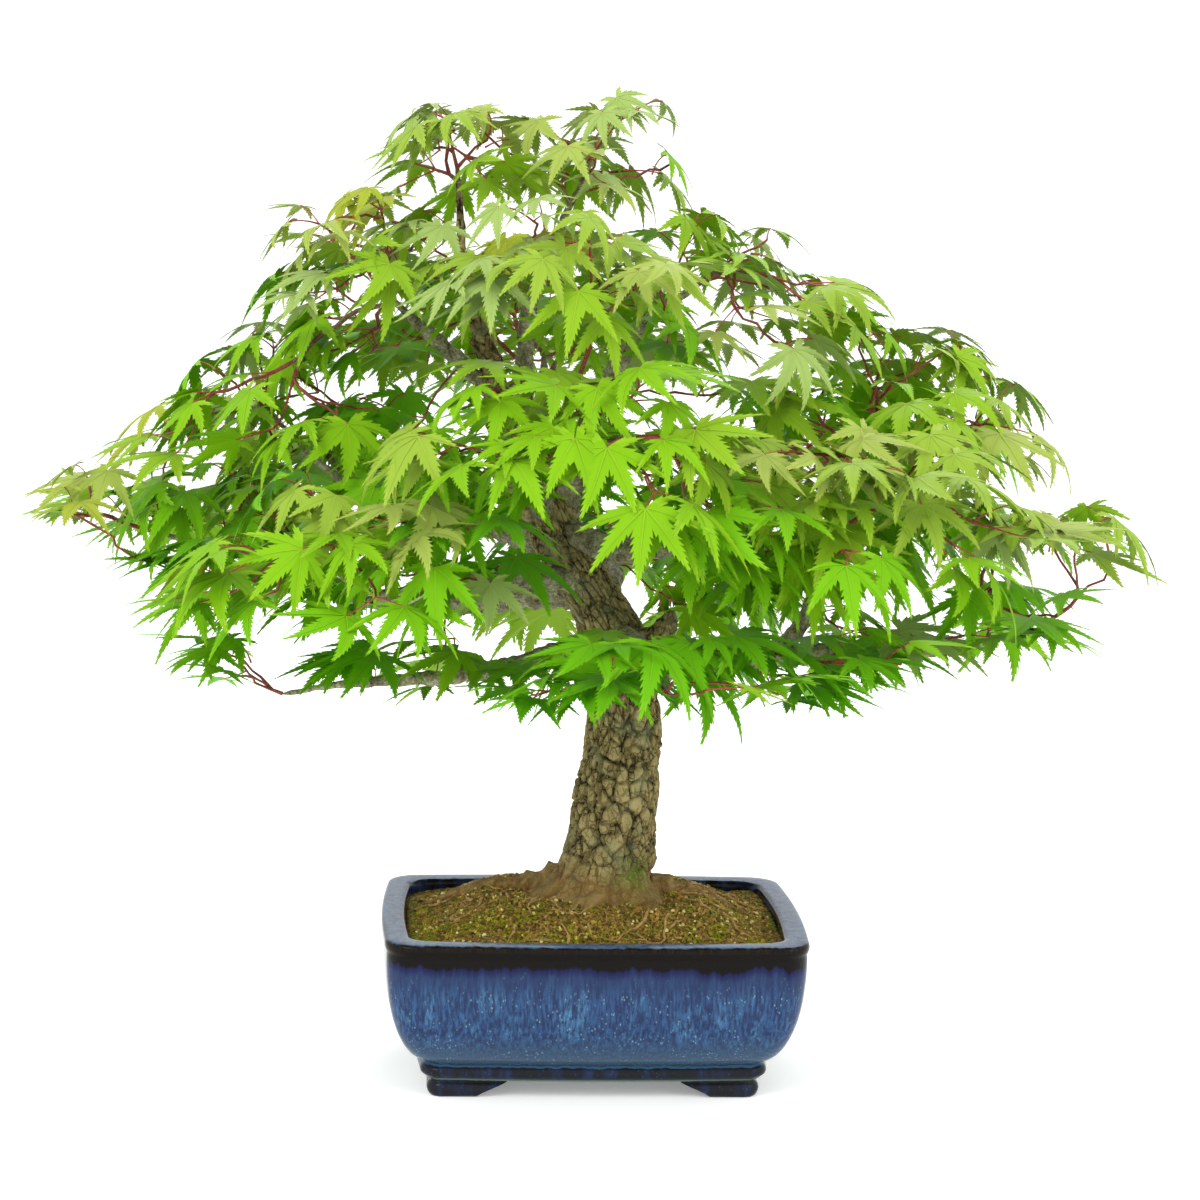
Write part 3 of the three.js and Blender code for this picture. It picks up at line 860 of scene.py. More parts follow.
@dataclass
class Soil:
    """Mounded soil with grit, moss and fine surface roots."""

    half_width: float = 96.7
    half_depth: float = 66.7
    corner: float = 12
    edge_level: float = 79.6
    rise: float = 15.6
    columns: int = 150
    rows: int = 106
    body: float = 12
    trunk_x: float = 11
    bare: float = 27
    open_from: Zone = (26, 52)
    roughness: tuple[tuple[float, float, float], ...] = ((1.5, 17, 3), (0.8, 5, 9), (0.8, 2.3, 1))
    seed: int = 5

    def from_wall(self, x: np.ndarray, y: np.ndarray) -> np.ndarray:
        """How far out a point is, from 0 in the middle to 1 at the wall."""
        return (np.abs(x / self.half_width) ** 4 + np.abs(y / self.half_depth) ** 4) ** 0.25

    def level(self, x: np.ndarray, y: np.ndarray) -> np.ndarray:
        """Height of the soil above the floor at some points."""
        level = self.edge_level + self.rise * (1 - smooth(0.5, 1.02, self.from_wall(x, y)))
        rough = [sum(rise * noise.noise((a / size, b / size, shift)) for rise, size, shift in self.roughness)
                 for a, b in zip(np.ravel(x), np.ravel(y))]
        return level + np.reshape(rough, np.shape(level))

    def to_wall(self, flat: np.ndarray) -> np.ndarray:
        """Bends points of a square, -1 to 1 each way, to the rounded inside of the pot."""
        half = np.array([self.half_width, self.half_depth])
        place = flat * half
        reach = np.maximum(np.abs(flat).max(axis=1), 1e-9)
        edge = np.abs(place / reach[:, None])
        length = np.maximum(np.linalg.norm(edge, axis=1), 1e-9)
        way = edge / length[:, None]
        middle = half - self.corner
        past = np.all(edge > middle, axis=1)
        along = way @ middle
        inner = along + np.sqrt(np.maximum(0, self.corner ** 2 - middle @ middle + along ** 2))
        share = np.where(past, inner / length, 1)
        return place * (1 - (1 - share) * reach ** 4)[:, None]

    def ground(self) -> bpy.types.Object:
        """Makes the body of the soil."""
        drop()
        bpy.ops.mesh.primitive_grid_add(x_subdivisions=self.columns, y_subdivisions=self.rows, size=2)
        ground = bpy.context.object
        corners = coordinates_of(ground)
        flat = self.to_wall(corners[:, :2])
        put_coordinates(ground, np.column_stack([flat, self.level(flat[:, 0], flat[:, 1])]) * MM)
        open_all()
        bpy.ops.mesh.region_to_loop()
        bpy.ops.mesh.extrude_region_move(TRANSFORM_OT_translate={"value": (0, 0, -self.body * MM)})
        bpy.ops.mesh.edge_face_add()
        face_outwards()
        bpy.ops.object.shade_smooth()
        corners = coordinates_of(ground) / MM
        away = np.hypot(corners[:, 0] - self.trunk_x + 6, corners[:, 1] * 1.2)
        mark(ground, "open", smooth(*self.open_from, away))
        ground.data.materials.append(Earth().make())
        return settle(ground, "soil_bed", Slot.SOIL, "soil")

    def spots(self, rng: np.random.Generator, count: int, edge: float = 0.965) -> np.ndarray:
        """Picks places on the open soil, as rows of x, y and z."""
        flat = rng.uniform(-1, 1, (count * 2, 2)) * (self.half_width, self.half_depth)
        open_soil = self.from_wall(flat[:, 0], flat[:, 1]) < edge
        open_soil &= np.hypot(flat[:, 0] - self.trunk_x, flat[:, 1]) > self.bare
        flat = flat[open_soil][:count]
        return np.column_stack([flat, self.level(flat[:, 0], flat[:, 1])])

    def grit(self, name: str, count: int, sizes: tuple[float, float], finish: Mottled) -> bpy.types.Object:
        """Scatters copies of one squashed grain."""
        drop()
        bpy.ops.mesh.primitive_ico_sphere_add(subdivisions=1, radius=1)
        grain = bpy.context.object
        shape = coordinates_of(grain)
        faces = [tuple(face.vertices) for face in grain.data.polygons]
        bpy.data.objects.remove(grain)
        rng = np.random.default_rng(self.seed + count)
        stock = Stock()
        for place in self.spots(rng, count):
            size = rng.uniform(*sizes) * rng.uniform(0.6, 1.2, 3)
            turn = np.array(Matrix.Rotation(rng.uniform(0, 6.3), 3, rng.normal(size=3)))
            stock.add((shape * size * rng.uniform(0.8, 1.2, shape.shape)) @ turn + place, faces)
        return settle(stock.piece(name, finish.make(), soft_angle=0.5), name, Slot.SOIL)

    def moss(self, tufts: int = 300, blades: int = 17) -> bpy.types.Object:
        """Sets tufts of short pointed blades where the soil is damp."""
        rng = np.random.default_rng(self.seed)
        stock = Stock()
        for place in self.spots(rng, tufts, 0.95):
            if noise.noise((place[0] / 26, place[1] / 26, 7)) < 0.02:
                continue
            spread = rng.uniform(1.2, 3.2)
            flat = place[:2] + rng.normal(size=(blades, 2)) * spread
            for x, y, z in np.column_stack([flat, self.level(flat[:, 0], flat[:, 1])]):
                if self.from_wall(x, y) > 0.97:
                    continue
                turn = rng.uniform(0, 2.1) + np.array([0, 2.09, 4.19])
                foot = np.column_stack([x + 0.3 * np.cos(turn), y + 0.3 * np.sin(turn), np.full(3, z - 0.3)])
                point = (x + rng.normal() * 0.6, y + rng.normal() * 0.6, z + rng.uniform(0.9, 2.1))
                stock.add(np.vstack([foot, point]), [(0, 1, 3), (1, 2, 3), (2, 0, 3), (2, 1, 0)])
        shades = (paint(78, 90, 8), paint(108, 114, 12), paint(144, 142, 20), paint(180, 168, 42))
        return settle(stock.piece("moss", Mottled("moss", shades, 5).make()), "moss", Slot.SOIL)

    def rootlets(self, count: int = 190) -> bpy.types.Object:
        """Lays fine roots that wander over the soil."""
        rng = np.random.default_rng(self.seed + 1)
        stock = Stock()
        for place in self.spots(rng, count, 0.86):
            near = math.hypot(place[0] - self.trunk_x, place[1] * 1.3)
            if rng.random() > math.exp(-max(0.0, near - 34) / 30):
                continue
            heading = math.atan2(place[1], place[0] - self.trunk_x) + rng.normal() * 0.8
            length = rng.uniform(10, 44)
            steps = int(length / 1.8)
            bends = np.cumsum(rng.normal(size=steps) * 0.33) + heading
            flat = place[:2] + np.cumsum(np.column_stack([np.cos(bends), np.sin(bends)]) * 1.8, axis=0)
            flat = flat[self.from_wall(flat[:, 0], flat[:, 1]) < 0.96]
            if len(flat) < 4:
                continue
            lift = 0.3 + 0.9 * np.sin(np.linspace(0, 3.1, len(flat)) * rng.uniform(0.6, 2))
            path = np.column_stack([flat, self.level(flat[:, 0], flat[:, 1]) + lift * 0.6])
            stock.add(*tube(path, np.linspace(rng.uniform(0.4, 1.25), 0.22, len(path)), 5))
        finish = YoungBark("rootlet_bark", paint(120, 88, 46), paint(164, 128, 76), paint(196, 162, 106))
        return settle(stock.piece("fine_roots", finish.make()), "fine_roots", Slot.YOUNG_BARK)

    def build(self) -> None:
        """Makes the soil and everything that lies on it."""
        self.ground()
        pale = (paint(196, 180, 84), paint(216, 200, 116), paint(166, 142, 58), paint(222, 216, 158))
        brown = (paint(92, 66, 24), paint(140, 106, 42), paint(54, 40, 14), paint(172, 136, 60))
        self.grit("pale_grit", 520, (0.35, 1.25), Mottled("pale_grit", pale))
        self.grit("brown_crumbs", 1700, (0.5, 1.7), Mottled("brown_crumbs", brown))
        self.moss()
        self.rootlets()


# The trunk and its boughs.


def plates(points: np.ndarray, size: float) -> np.ndarray:
    """How far each point is from the nearest crack between cells of a size, 0 on the crack."""
    found = [noise.voronoi(point)[0] for point in (points / size).tolist()]
    return np.array([far[1] - far[0] for far in found])


def lumps(points: np.ndarray, size: float, shift: float = 0.0) -> np.ndarray:
    """Soft noise from -1 to 1 over patches of a size."""
    return np.array([noise.noise(point) for point in (points / size + shift).tolist()])


def warped(points: np.ndarray, size: float, reach: float) -> np.ndarray:
    """Points pushed about by soft noise, so that a pattern read there isn't regular."""
    return points + reach * np.array([noise.noise_vector(point) for point in (points / size).tolist()])


@dataclass
class Trunk:
    """Trunk with spreading roots, corky plates and the burr of an old cut."""

    stations: tuple[Station, ...] = (
        (11, 0, 0, 23.4), (11, 0, 11, 23), (11, 0, 32, 21.5), (12, 0, 52, 20.8), (14, -1, 77, 19.3),
        (14, -1, 102, 17.8), (12, 0, 123, 18), (5, 1, 144, 16.5), (-9, 2, 167, 15), (-20, 3, 187, 14),
        (-27, 3, 203, 11.5))
    sides: int = 220
    cuts: tuple[int, int] = (15, 14)
    buried: float = 4
    dome: float = 9
    flare_height: float = 7
    flare_spread: float = 15
    tall_flare_bearing: float = 196
    tall_flare_height: float = 19
    tall_flare_spread: float = 9
    tuck_bearing: float = 345
    tuck_height: float = 8
    tuck_depth: float = 5
    root_bearings: tuple[float, ...] = (195, 250, 300, 60, 130)
    plate: float = 6.4
    plate_depth: float = 3.0
    lump: float = 1.7
    burr_bearing: float = 232
    burr_height: float = 181
    burr_size: float = 13
    burr_rise: float = 5.5
    girth: float = 21
    squash: float = 0.62
    depth_share: float = 0.94
    moss_bearing: float = 296
    moss_height: float = 13

    def root_rise(self, turn: np.ndarray) -> np.ndarray:
        """How much of a root ridge there is at each bearing."""
        away = turn[:, None] - np.radians(self.root_bearings)[None]
        return (np.maximum(0, np.cos(away)) ** 6).max(axis=1)

    def build(self) -> bpy.types.Object:
        """Makes the trunk and gives it its bark."""
        pole = straight_pole(self.sides, self.cuts)
        corners = coordinates_of(pole)
        turn = np.arctan2(corners[:, 1], corners[:, 0])
        within = np.hypot(corners[:, 0], corners[:, 1])
        top = self.stations[-1][2] + self.dome
        height = -self.buried + corners[:, 2] * (top + self.buried)
        curve = curve_through(self.stations, 1.0)
        x, y, radius = (np.interp(height, curve[:, 2], curve[:, k]) for k in (0, 1, 3))
        over = np.clip((height - self.stations[-1][2]) / self.dome, 0, 1)
        radius = radius * np.sqrt(np.maximum(1 - over ** 2, 0.004))
        x = x - 3 * over
        spread = self.flare_spread * np.exp(-np.maximum(height, 0) / self.flare_height)
        reach = radius + spread * (0.3 + 0.7 * self.root_rise(turn))
        left = np.maximum(0, np.cos(turn - math.radians(self.tall_flare_bearing))) ** 3
        reach += left * self.tall_flare_spread * np.exp(-np.maximum(height, 0) / self.tall_flare_height)
        right = np.maximum(0, np.cos(turn - math.radians(self.tuck_bearing))) ** 2
        reach -= right * self.tuck_depth * np.exp(-((height - self.tuck_height) / 7) ** 2)
        flat = np.column_stack([self.girth * np.cos(turn), self.girth * np.sin(turn), height * self.squash])
        flat = warped(flat, 9, 2.6)
        low = smooth(4, 26, height)
        relief = 0.5 * smooth(0.04, 0.16, plates(flat, self.plate))
        relief += 0.4 * smooth(0.02, 0.1, plates(flat + 40, self.plate * 2.1))
        relief += 0.1 * smooth(0, 0.2, plates(flat, self.plate * 0.42))
        from_burr = np.hypot(from_bearing(turn, self.burr_bearing) * radius, height - self.burr_height)
        burr = np.exp(-(from_burr / self.burr_size) ** 2)
        relief = relief * (1 - 0.6 * burr) + burr * (0.35 + 0.25 * np.sin(from_burr * 1.7))
        depth = self.plate_depth * (0.45 + 0.55 * low) * (1 - 0.35 * smooth(120, 190, height))
        swell = self.lump * lumps(flat, 13) + 0.35 * lumps(flat, 2.2, 7) + 0.2 * lumps(flat, 1.1, 3)
        reach = reach + depth * (relief - 0.6) + swell * (0.6 + 0.4 * low) + self.burr_rise * burr
        reach = np.where(over > 0, reach * np.sqrt(np.maximum(1 - over ** 4, 0.01)), reach) * within
        across, back = reach * np.cos(turn), self.depth_share * reach * np.sin(turn)
        put_coordinates(pole, np.column_stack([x + across, y + back, CUT + height]) * MM)
        mark(pole, "relief", relief * (0.8 + 0.3 * lumps(flat, 6, 11)) + 0.06)
        moss = (from_bearing(turn, self.moss_bearing) * 2.2) ** 2 + ((height - self.moss_height) / 8) ** 2
        mark(pole, "moss", np.exp(-moss))
        take(pole)
        bpy.ops.object.shade_smooth()
        pole.data.materials.append(BARK)
        return settle(pole, "trunk_bark", Slot.BARK, "trunk")


@dataclass(frozen=True)
class Bough:
    """A bough along a smooth crooked line, with knuckles and bark."""

    name: str
    route: tuple[Station, ...]
    seed: int = 0
    sides: int = 22
    step: float = 1.9
    crook: float = 1.5
    thin: float = 0.5
    knuckle: float = 0.22
    knuckle_width: float = 1.9
    block: int = 10
    old_from: Zone = (4.5, 9.5)

    def line(self) -> np.ndarray:
        """The middle line: rows of x, y, z above the floor, and radius."""
        length = sum(math.dist(a[:3], b[:3]) for a, b in zip(self.route, self.route[1:]))
        count = self.block * max(2, round(length / self.step / self.block))
        raised = [(x, y, z + CUT, r) for x, y, z, r in self.route]
        curve = curve_through(raised, length / count)
        marks = np.linspace(0, 1, count + 1)
        even = np.linspace(0, 1, len(curve))
        line = np.column_stack([np.interp(marks, even, curve[:, k]) for k in range(4)])
        push = np.array([noise.noise_vector((i * length / 19 + self.seed, self.seed, 0)) for i in marks])
        push += 0.45 * np.array([noise.noise_vector((i * length / 8, self.seed, 5)) for i in marks])
        held = np.sin(np.pi * marks) ** 0.5
        line[:, :3] += push * (self.crook * held)[:, None]
        line[:, 3] *= 1 - self.thin * smooth(0.5, 1, marks)
        return line

    def build(self, *nodes: str) -> bpy.types.Object:
        """Makes the bough and gives it its bark."""
        line = self.line()
        count = len(line) - 1
        pole = straight_pole(self.sides, (count // self.block - 1, self.block - 1))
        corners = coordinates_of(pole)
        ring = np.rint(corners[:, 2] * count).astype(int)
        turn = np.arctan2(corners[:, 1], corners[:, 0])
        _, side, over = frames_along(line[:, :3])
        rng = random.Random(self.seed + 3)
        along = run_along(line)
        radius = line[:, 3].copy()
        mark_at = rng.uniform(6, 14)
        while mark_at < along[-1]:
            thick = np.interp(mark_at, along, line[:, 3])
            radius += self.knuckle * thick * np.exp(-((along - mark_at) / self.knuckle_width) ** 2)
            mark_at += rng.uniform(6, 15)
        radius[-3:] *= (0.9, 0.7, 0.35)
        girth = radius[ring]
        down = along[ring] * 0.6 + self.seed * 31
        flat = warped(np.column_stack([girth * np.cos(turn), girth * np.sin(turn), down]), 6, 1.4)
        old = smooth(*self.old_from, girth)
        relief = 0.6 * smooth(0, 0.3, plates(flat, 4.6)) + 0.4 * smooth(0, 0.3, plates(flat, 2.1))
        reach = girth + old * 1.3 * (relief - 0.6) + girth * 0.17 * lumps(flat, 5)
        reach = reach + 0.08 * girth * lumps(flat * (1, 1, 0.4), 1.6, 4)
        way = side[ring] * np.cos(turn)[:, None] + over[ring] * np.sin(turn)[:, None]
        within = np.hypot(corners[:, 0], corners[:, 1])
        put_coordinates(pole, (line[ring, :3] + way * (reach * within)[:, None]) * MM)
        mark(pole, "relief", relief * 0.9 + 0.1)
        mark(pole, "moss", np.zeros(len(relief)))
        take(pole)
        bpy.ops.object.shade_smooth()
        pole.data.materials.append(BARK if nodes[0] in OLD_WOOD else GREY_BARK)
        return settle(pole, self.name, Slot.BARK if nodes[0] == "trunk" else Slot.YOUNG_BARK, *nodes)


# Each bough's route out of the trunk, or out of the limb that carries it, to inside its foliage.
BOUGH_ROUTES: dict[str, tuple[Station, ...]] = {
    "leader_left": (
        (-24, 3, 191, 10.5), (-38, 4, 208, 9.5), (-50, 3, 227, 8.2), (-51, 1, 247, 7.2),
        (-57, -2, 269, 6.2), (-64, -3, 297, 5), (-72, -3, 327, 4), (-76, -2, 369, 3)),
    "leader_right": (
        (-20, 4, 191, 7.5), (-14, 10, 215, 6.6), (-6, 13, 242, 5.8), (4, 13, 267, 5),
        (22, 11, 297, 4.2), (50, 10, 319, 3)),
    "leader_back": (
        (-24, 8, 187, 6.5), (-26, 26, 219, 5.6), (-28, 48, 245, 4.6), (-28, 75, 265, 3.6),
        (-26, 100, 275, 2.8)),
    "stem_top_right": (
        (-52, 1, 245, 4.6), (-42, 3, 269, 4.2), (-40, 4, 292, 3.8), (-34, 5, 317, 3.4),
        (-22, 6, 347, 3), (-10, 6, 375, 2.4)),
    "stem_upper_left": (
        (-55, -1, 259, 4.2), (-72, -8, 275, 3.8), (-92, -12, 293, 3.2), (-112, -12, 311, 2.6)),
    "bough_right_low": (
        (10, 0, 115, 8.5), (33, -2, 121, 8), (54, -4, 125.5, 7), (75, -5, 124, 6.2),
        (98, -6, 128, 5.6), (122, -9, 130, 5), (150, -14, 130, 4.4), (182, -22, 135, 3.6),
        (225, -32, 147, 2.6)),
    "bough_right_riser": (
        (86, -5, 125, 4.6), (102, -1, 138, 4.2), (117, 5, 160, 3.8), (134, 8, 182, 3.3),
        (152, 6, 199, 3), (172, 4, 221, 2.4)),
    "bough_right_front": (
        (-18, 0, 190, 6.5), (-4, -13, 186, 6), (14, -20, 182, 5.4), (37, -26, 187, 4.8),
        (62, -36, 197, 4.2), (90, -55, 202, 3.6), (118, -80, 205, 2.8)),
    "bough_front_low": (
        (8, -6, 131, 6.4), (10, -30, 139, 5.6), (14, -56, 141, 4.8), (20, -84, 135, 4),
        (26, -112, 125, 3)),
    "bough_front_high": (
        (-28, -2, 197, 6), (-34, -20, 215, 5.2), (-30, -44, 229, 4.4), (-22, -72, 237, 3.6),
        (-14, -100, 241, 2.8)),
    "bough_front_left": (
        (-10, -4, 165, 6), (-34, -24, 169, 5.2), (-62, -48, 169, 4.4), (-92, -76, 169, 3.6),
        (-118, -98, 169, 2.8)),
    "bough_left_lowest": (
        (4, -2, 135, 5), (-24, -18, 129, 4.6), (-56, -32, 122, 4), (-89, -40, 119, 3.5),
        (-121, -44, 117, 3), (-160, -46, 111, 2.3)),
    "bough_left_low": (
        (-8, 3, 157, 7), (-36, 20, 153, 6.2), (-75, 32, 147, 5.5), (-110, 36, 147, 4.9),
        (-135, 38, 152, 4.3), (-160, 40, 163, 3.7), (-190, 42, 171, 3.1), (-230, 42, 181, 2.5)),
    "bough_left_mid": (
        (-24, 5, 183, 6.2), (-52, 16, 189, 5.4), (-80, 24, 192, 4.7), (-104, 28, 196, 4),
        (-128, 30, 207, 3.4), (-156, 28, 229, 2.6)),
    "bough_back_low": (
        (4, 4, 145, 6.6), (8, 32, 155, 5.6), (12, 64, 159, 4.8), (14, 96, 157, 4), (14, 130, 151, 3)),
    "bough_back_left": (
        (-18, 7, 175, 6), (-46, 38, 185, 5.2), (-76, 66, 191, 4.4), (-104, 92, 193, 3.6),
        (-132, 118, 195, 2.8)),
    "bough_back_right": (
        (-8, 6, 169, 6), (26, 34, 181, 5.2), (60, 60, 189, 4.4), (94, 84, 193, 3.6),
        (126, 108, 195, 2.8)),
}

# The limbs whose wood is old enough for corky bark.
OLD_WOOD = ("trunk", "leader_left")

# Roots that run out over the soil, and the stub of a shortened branch on the trunk.
ROOT_ROUTES: dict[str, tuple[Station, ...]] = {
    "root_left": (
        (-14, 4, 4, 9), (-34, 8, 0, 7.5), (-54, 13, -3, 5.8), (-74, 18, -8, 4), (-88, 22, -13, 2.4)),
    "root_right": ((30, 2, 2, 7), (50, 3, -2, 5), (68, 2, -6, 3.4), (84, -4, -12, 2)),
    "root_front": ((20, -20, 0, 6), (30, -34, -3.5, 4), (44, -45, -8, 2.4), (60, -51, -13, 1.4)),
    "root_front_left": (
        (0, -20, 0.5, 6.5), (-12, -33, -3.5, 4.2), (-30, -44, -8.5, 2.4), (-46, -52, -14, 1.4)),
    "root_back": ((16, 20, 0, 6.5), (24, 36, -4, 4), (40, 47, -9.5, 2.2)),
    "root_back_left": ((-6, 18, 0, 6.5), (-22, 34, -4, 4), (-42, 44, -10, 2.4)),
}
STUB_ROUTE: tuple[Station, ...] = (
    (10, -5, 126, 10), (22, -10, 131, 8.6), (31, -12, 137, 7.2), (35.5, -12, 144, 5.2), (37.5, -12, 151, 4.2))


# The crown.


@dataclass
class LeafShape:
    """A palmate leaf with pointed, finely toothed lobes, one unit from its stalk to its longest tip."""

    bearings: tuple[float, ...] = (0, 40, 80, 130)
    reaches: tuple[float, ...] = (1, 0.95, 0.78, 0.4)
    widths: tuple[float, ...] = (0.108, 0.11, 0.114, 0.125)
    spans: tuple[int, ...] = (3, 3, 2, 1)
    teeth: int = 3
    sinus: float = 0.34
    base_turn: float = 18
    base_reach: float = 0.12
    fold: float = 0.2
    outline_at: tuple[float, ...] = (0, 0.18, 0.38, 0.58, 0.76, 0.89, 1)
    outline: tuple[float, ...] = (0.76, 1, 0.84, 0.53, 0.25, 0.09, 0)
    corners: list[tuple[float, float, float]] = field(default_factory=list)
    faces: list[tuple[int, ...]] = field(default_factory=list)
    kinds: list[int] = field(default_factory=list)

    def __post_init__(self) -> None:
        """Works out the blade and its veins."""
        self.corners.append((0.0, 0.0, 0.0))
        lobes = list(zip(self.bearings, self.reaches, self.widths, self.spans))
        lobes = [(-bearing, *rest) for bearing, *rest in reversed(lobes[1:])] + lobes
        notches = [self.notch(lobes[0][0] - self.base_turn, self.base_reach)]
        for one, two in zip(lobes, lobes[1:]):
            reach = self.sinus * min(1, 1.25 * min(one[1], two[1]))
            notches.append(self.notch((one[0] + two[0]) / 2, reach))
        notches.append(self.notch(lobes[-1][0] + self.base_turn, self.base_reach))
        for i, (bearing, reach, width, spans) in enumerate(lobes):
            self.lobe(math.radians(bearing), reach, width, spans, notches[i], notches[i + 1])

    def notch(self, bearing: float, reach: float) -> int:
        """Adds the corner between two lobes."""
        turn = math.radians(bearing)
        self.corners.append((reach * math.cos(turn), reach * math.sin(turn), 0.3 * self.fold * reach))
        return len(self.corners) - 1

    def point(self, turn: float, out: float, aside: float, lift: float = 0.0) -> int:
        """Adds a corner along and beside a lobe's midrib."""
        self.corners.append((out * math.cos(turn) - aside * math.sin(turn),
                             out * math.sin(turn) + aside * math.cos(turn), self.fold * abs(aside) + lift))
        return len(self.corners) - 1

    def lobe(self, turn: float, reach: float, width: float, spans: int, right: int, left: int) -> None:
        """Adds one lobe between two notches, and its vein.

        Args:
            turn: The bearing of its midrib.
            reach: Its length from the stalk.
            width: Half its width at the widest, as a share of its length.
            spans: Faces along each side of it.
            right: Corner number of the notch on its right.
            left: Corner number of the notch on its left.
        """
        start = 0.92 * min(math.hypot(*self.corners[k][:2]) for k in (right, left)) + 0.02
        outs = [start + (reach - start) * (k / spans) ** 0.92 for k in range(spans + 1)]
        midrib = [self.point(turn, out, 0) for out in outs]
        for side, notch in ((-1, right), (1, left)):
            self.face(side, (0, notch, midrib[0]), 0)
            inner = notch
            for k in range(1, spans + 1):
                last = k == spans
                edge = [inner]
                for tooth in range(1, self.teeth + (0 if last else 1)):
                    out = outs[k - 1] + (outs[k] - outs[k - 1]) * tooth / self.teeth
                    share = np.interp((out - start) / (reach - start), self.outline_at, self.outline)
                    half = side * width * reach * float(share)
                    edge.append(self.point(turn, out + 0.034 * reach, half * 1.14 + side * 0.012))
                    edge.append(self.point(turn, out, half * 0.8))
                inner = edge[-1]
                self.face(side, (midrib[k - 1], *edge, midrib[k]), 1 if last else 0)
        if spans > 1:
            self.vein(turn, reach, [0.03, *outs[:-1], outs[-2] + 0.6 * (outs[-1] - outs[-2])])

    def vein(self, turn: float, reach: float, places: Sequence[float]) -> None:
        """Lays a narrow tapering strip along a midrib."""
        pairs = []
        for k, out in enumerate(places):
            half = 0.009 * (1 - k / len(places)) * (0.6 + 0.4 * reach)
            pairs.append((self.point(turn, out, -half, 0.006), self.point(turn, out, half, 0.006)))
        for one, two in zip(pairs, pairs[1:]):
            self.face(-1, (one[0], two[0], two[1], one[1]), 2)

    def face(self, side: int, numbers: tuple[int, ...], kind: int) -> None:
        """Adds a face that looks up on either side of a midrib."""
        self.faces.append(numbers if side < 0 else tuple(reversed(numbers)))
        self.kinds.append(kind)


# The leaf shapes, and how large a share of the leaves has each: three with seven lobes, one with five.
LEAF_SHAPES: tuple[tuple[LeafShape, float], ...] = (
    (LeafShape(), 0.4),
    (LeafShape((0, 43, 87, 138), (1, 0.9, 0.7, 0.32), (0.098, 0.1, 0.106, 0.12)), 0.25),
    (LeafShape((0, 37, 75, 124), (1, 0.96, 0.82, 0.44), sinus=0.31), 0.23),
    (LeafShape((0, 44, 92), (1, 0.86, 0.5), (0.125, 0.125, 0.13), (3, 3, 2)), 0.12))


@dataclass(frozen=True)
class Bud:
    """Where a leaf starts on a twig: how far behind its tip, the bearing round it, and the leaf's size."""

    behind: float
    bearing: float
    size: float


@dataclass
class Network:
    """Points that twigs grow from: the boughs first, then every twig that has been added."""

    places: list[np.ndarray] = field(default_factory=list)
    ways: list[np.ndarray] = field(default_factory=list)
    runs: list[float] = field(default_factory=list)
    parents: list[int] = field(default_factory=list)
    limits: list[float] = field(default_factory=list)

    def add(self, place: np.ndarray, way: np.ndarray, run: float, parent: int, limit: float) -> int:
        """Adds a point and returns its number."""
        self.places.append(place)
        self.ways.append(way)
        self.runs.append(run)
        self.parents.append(parent)
        self.limits.append(limit)
        return len(self.places) - 1


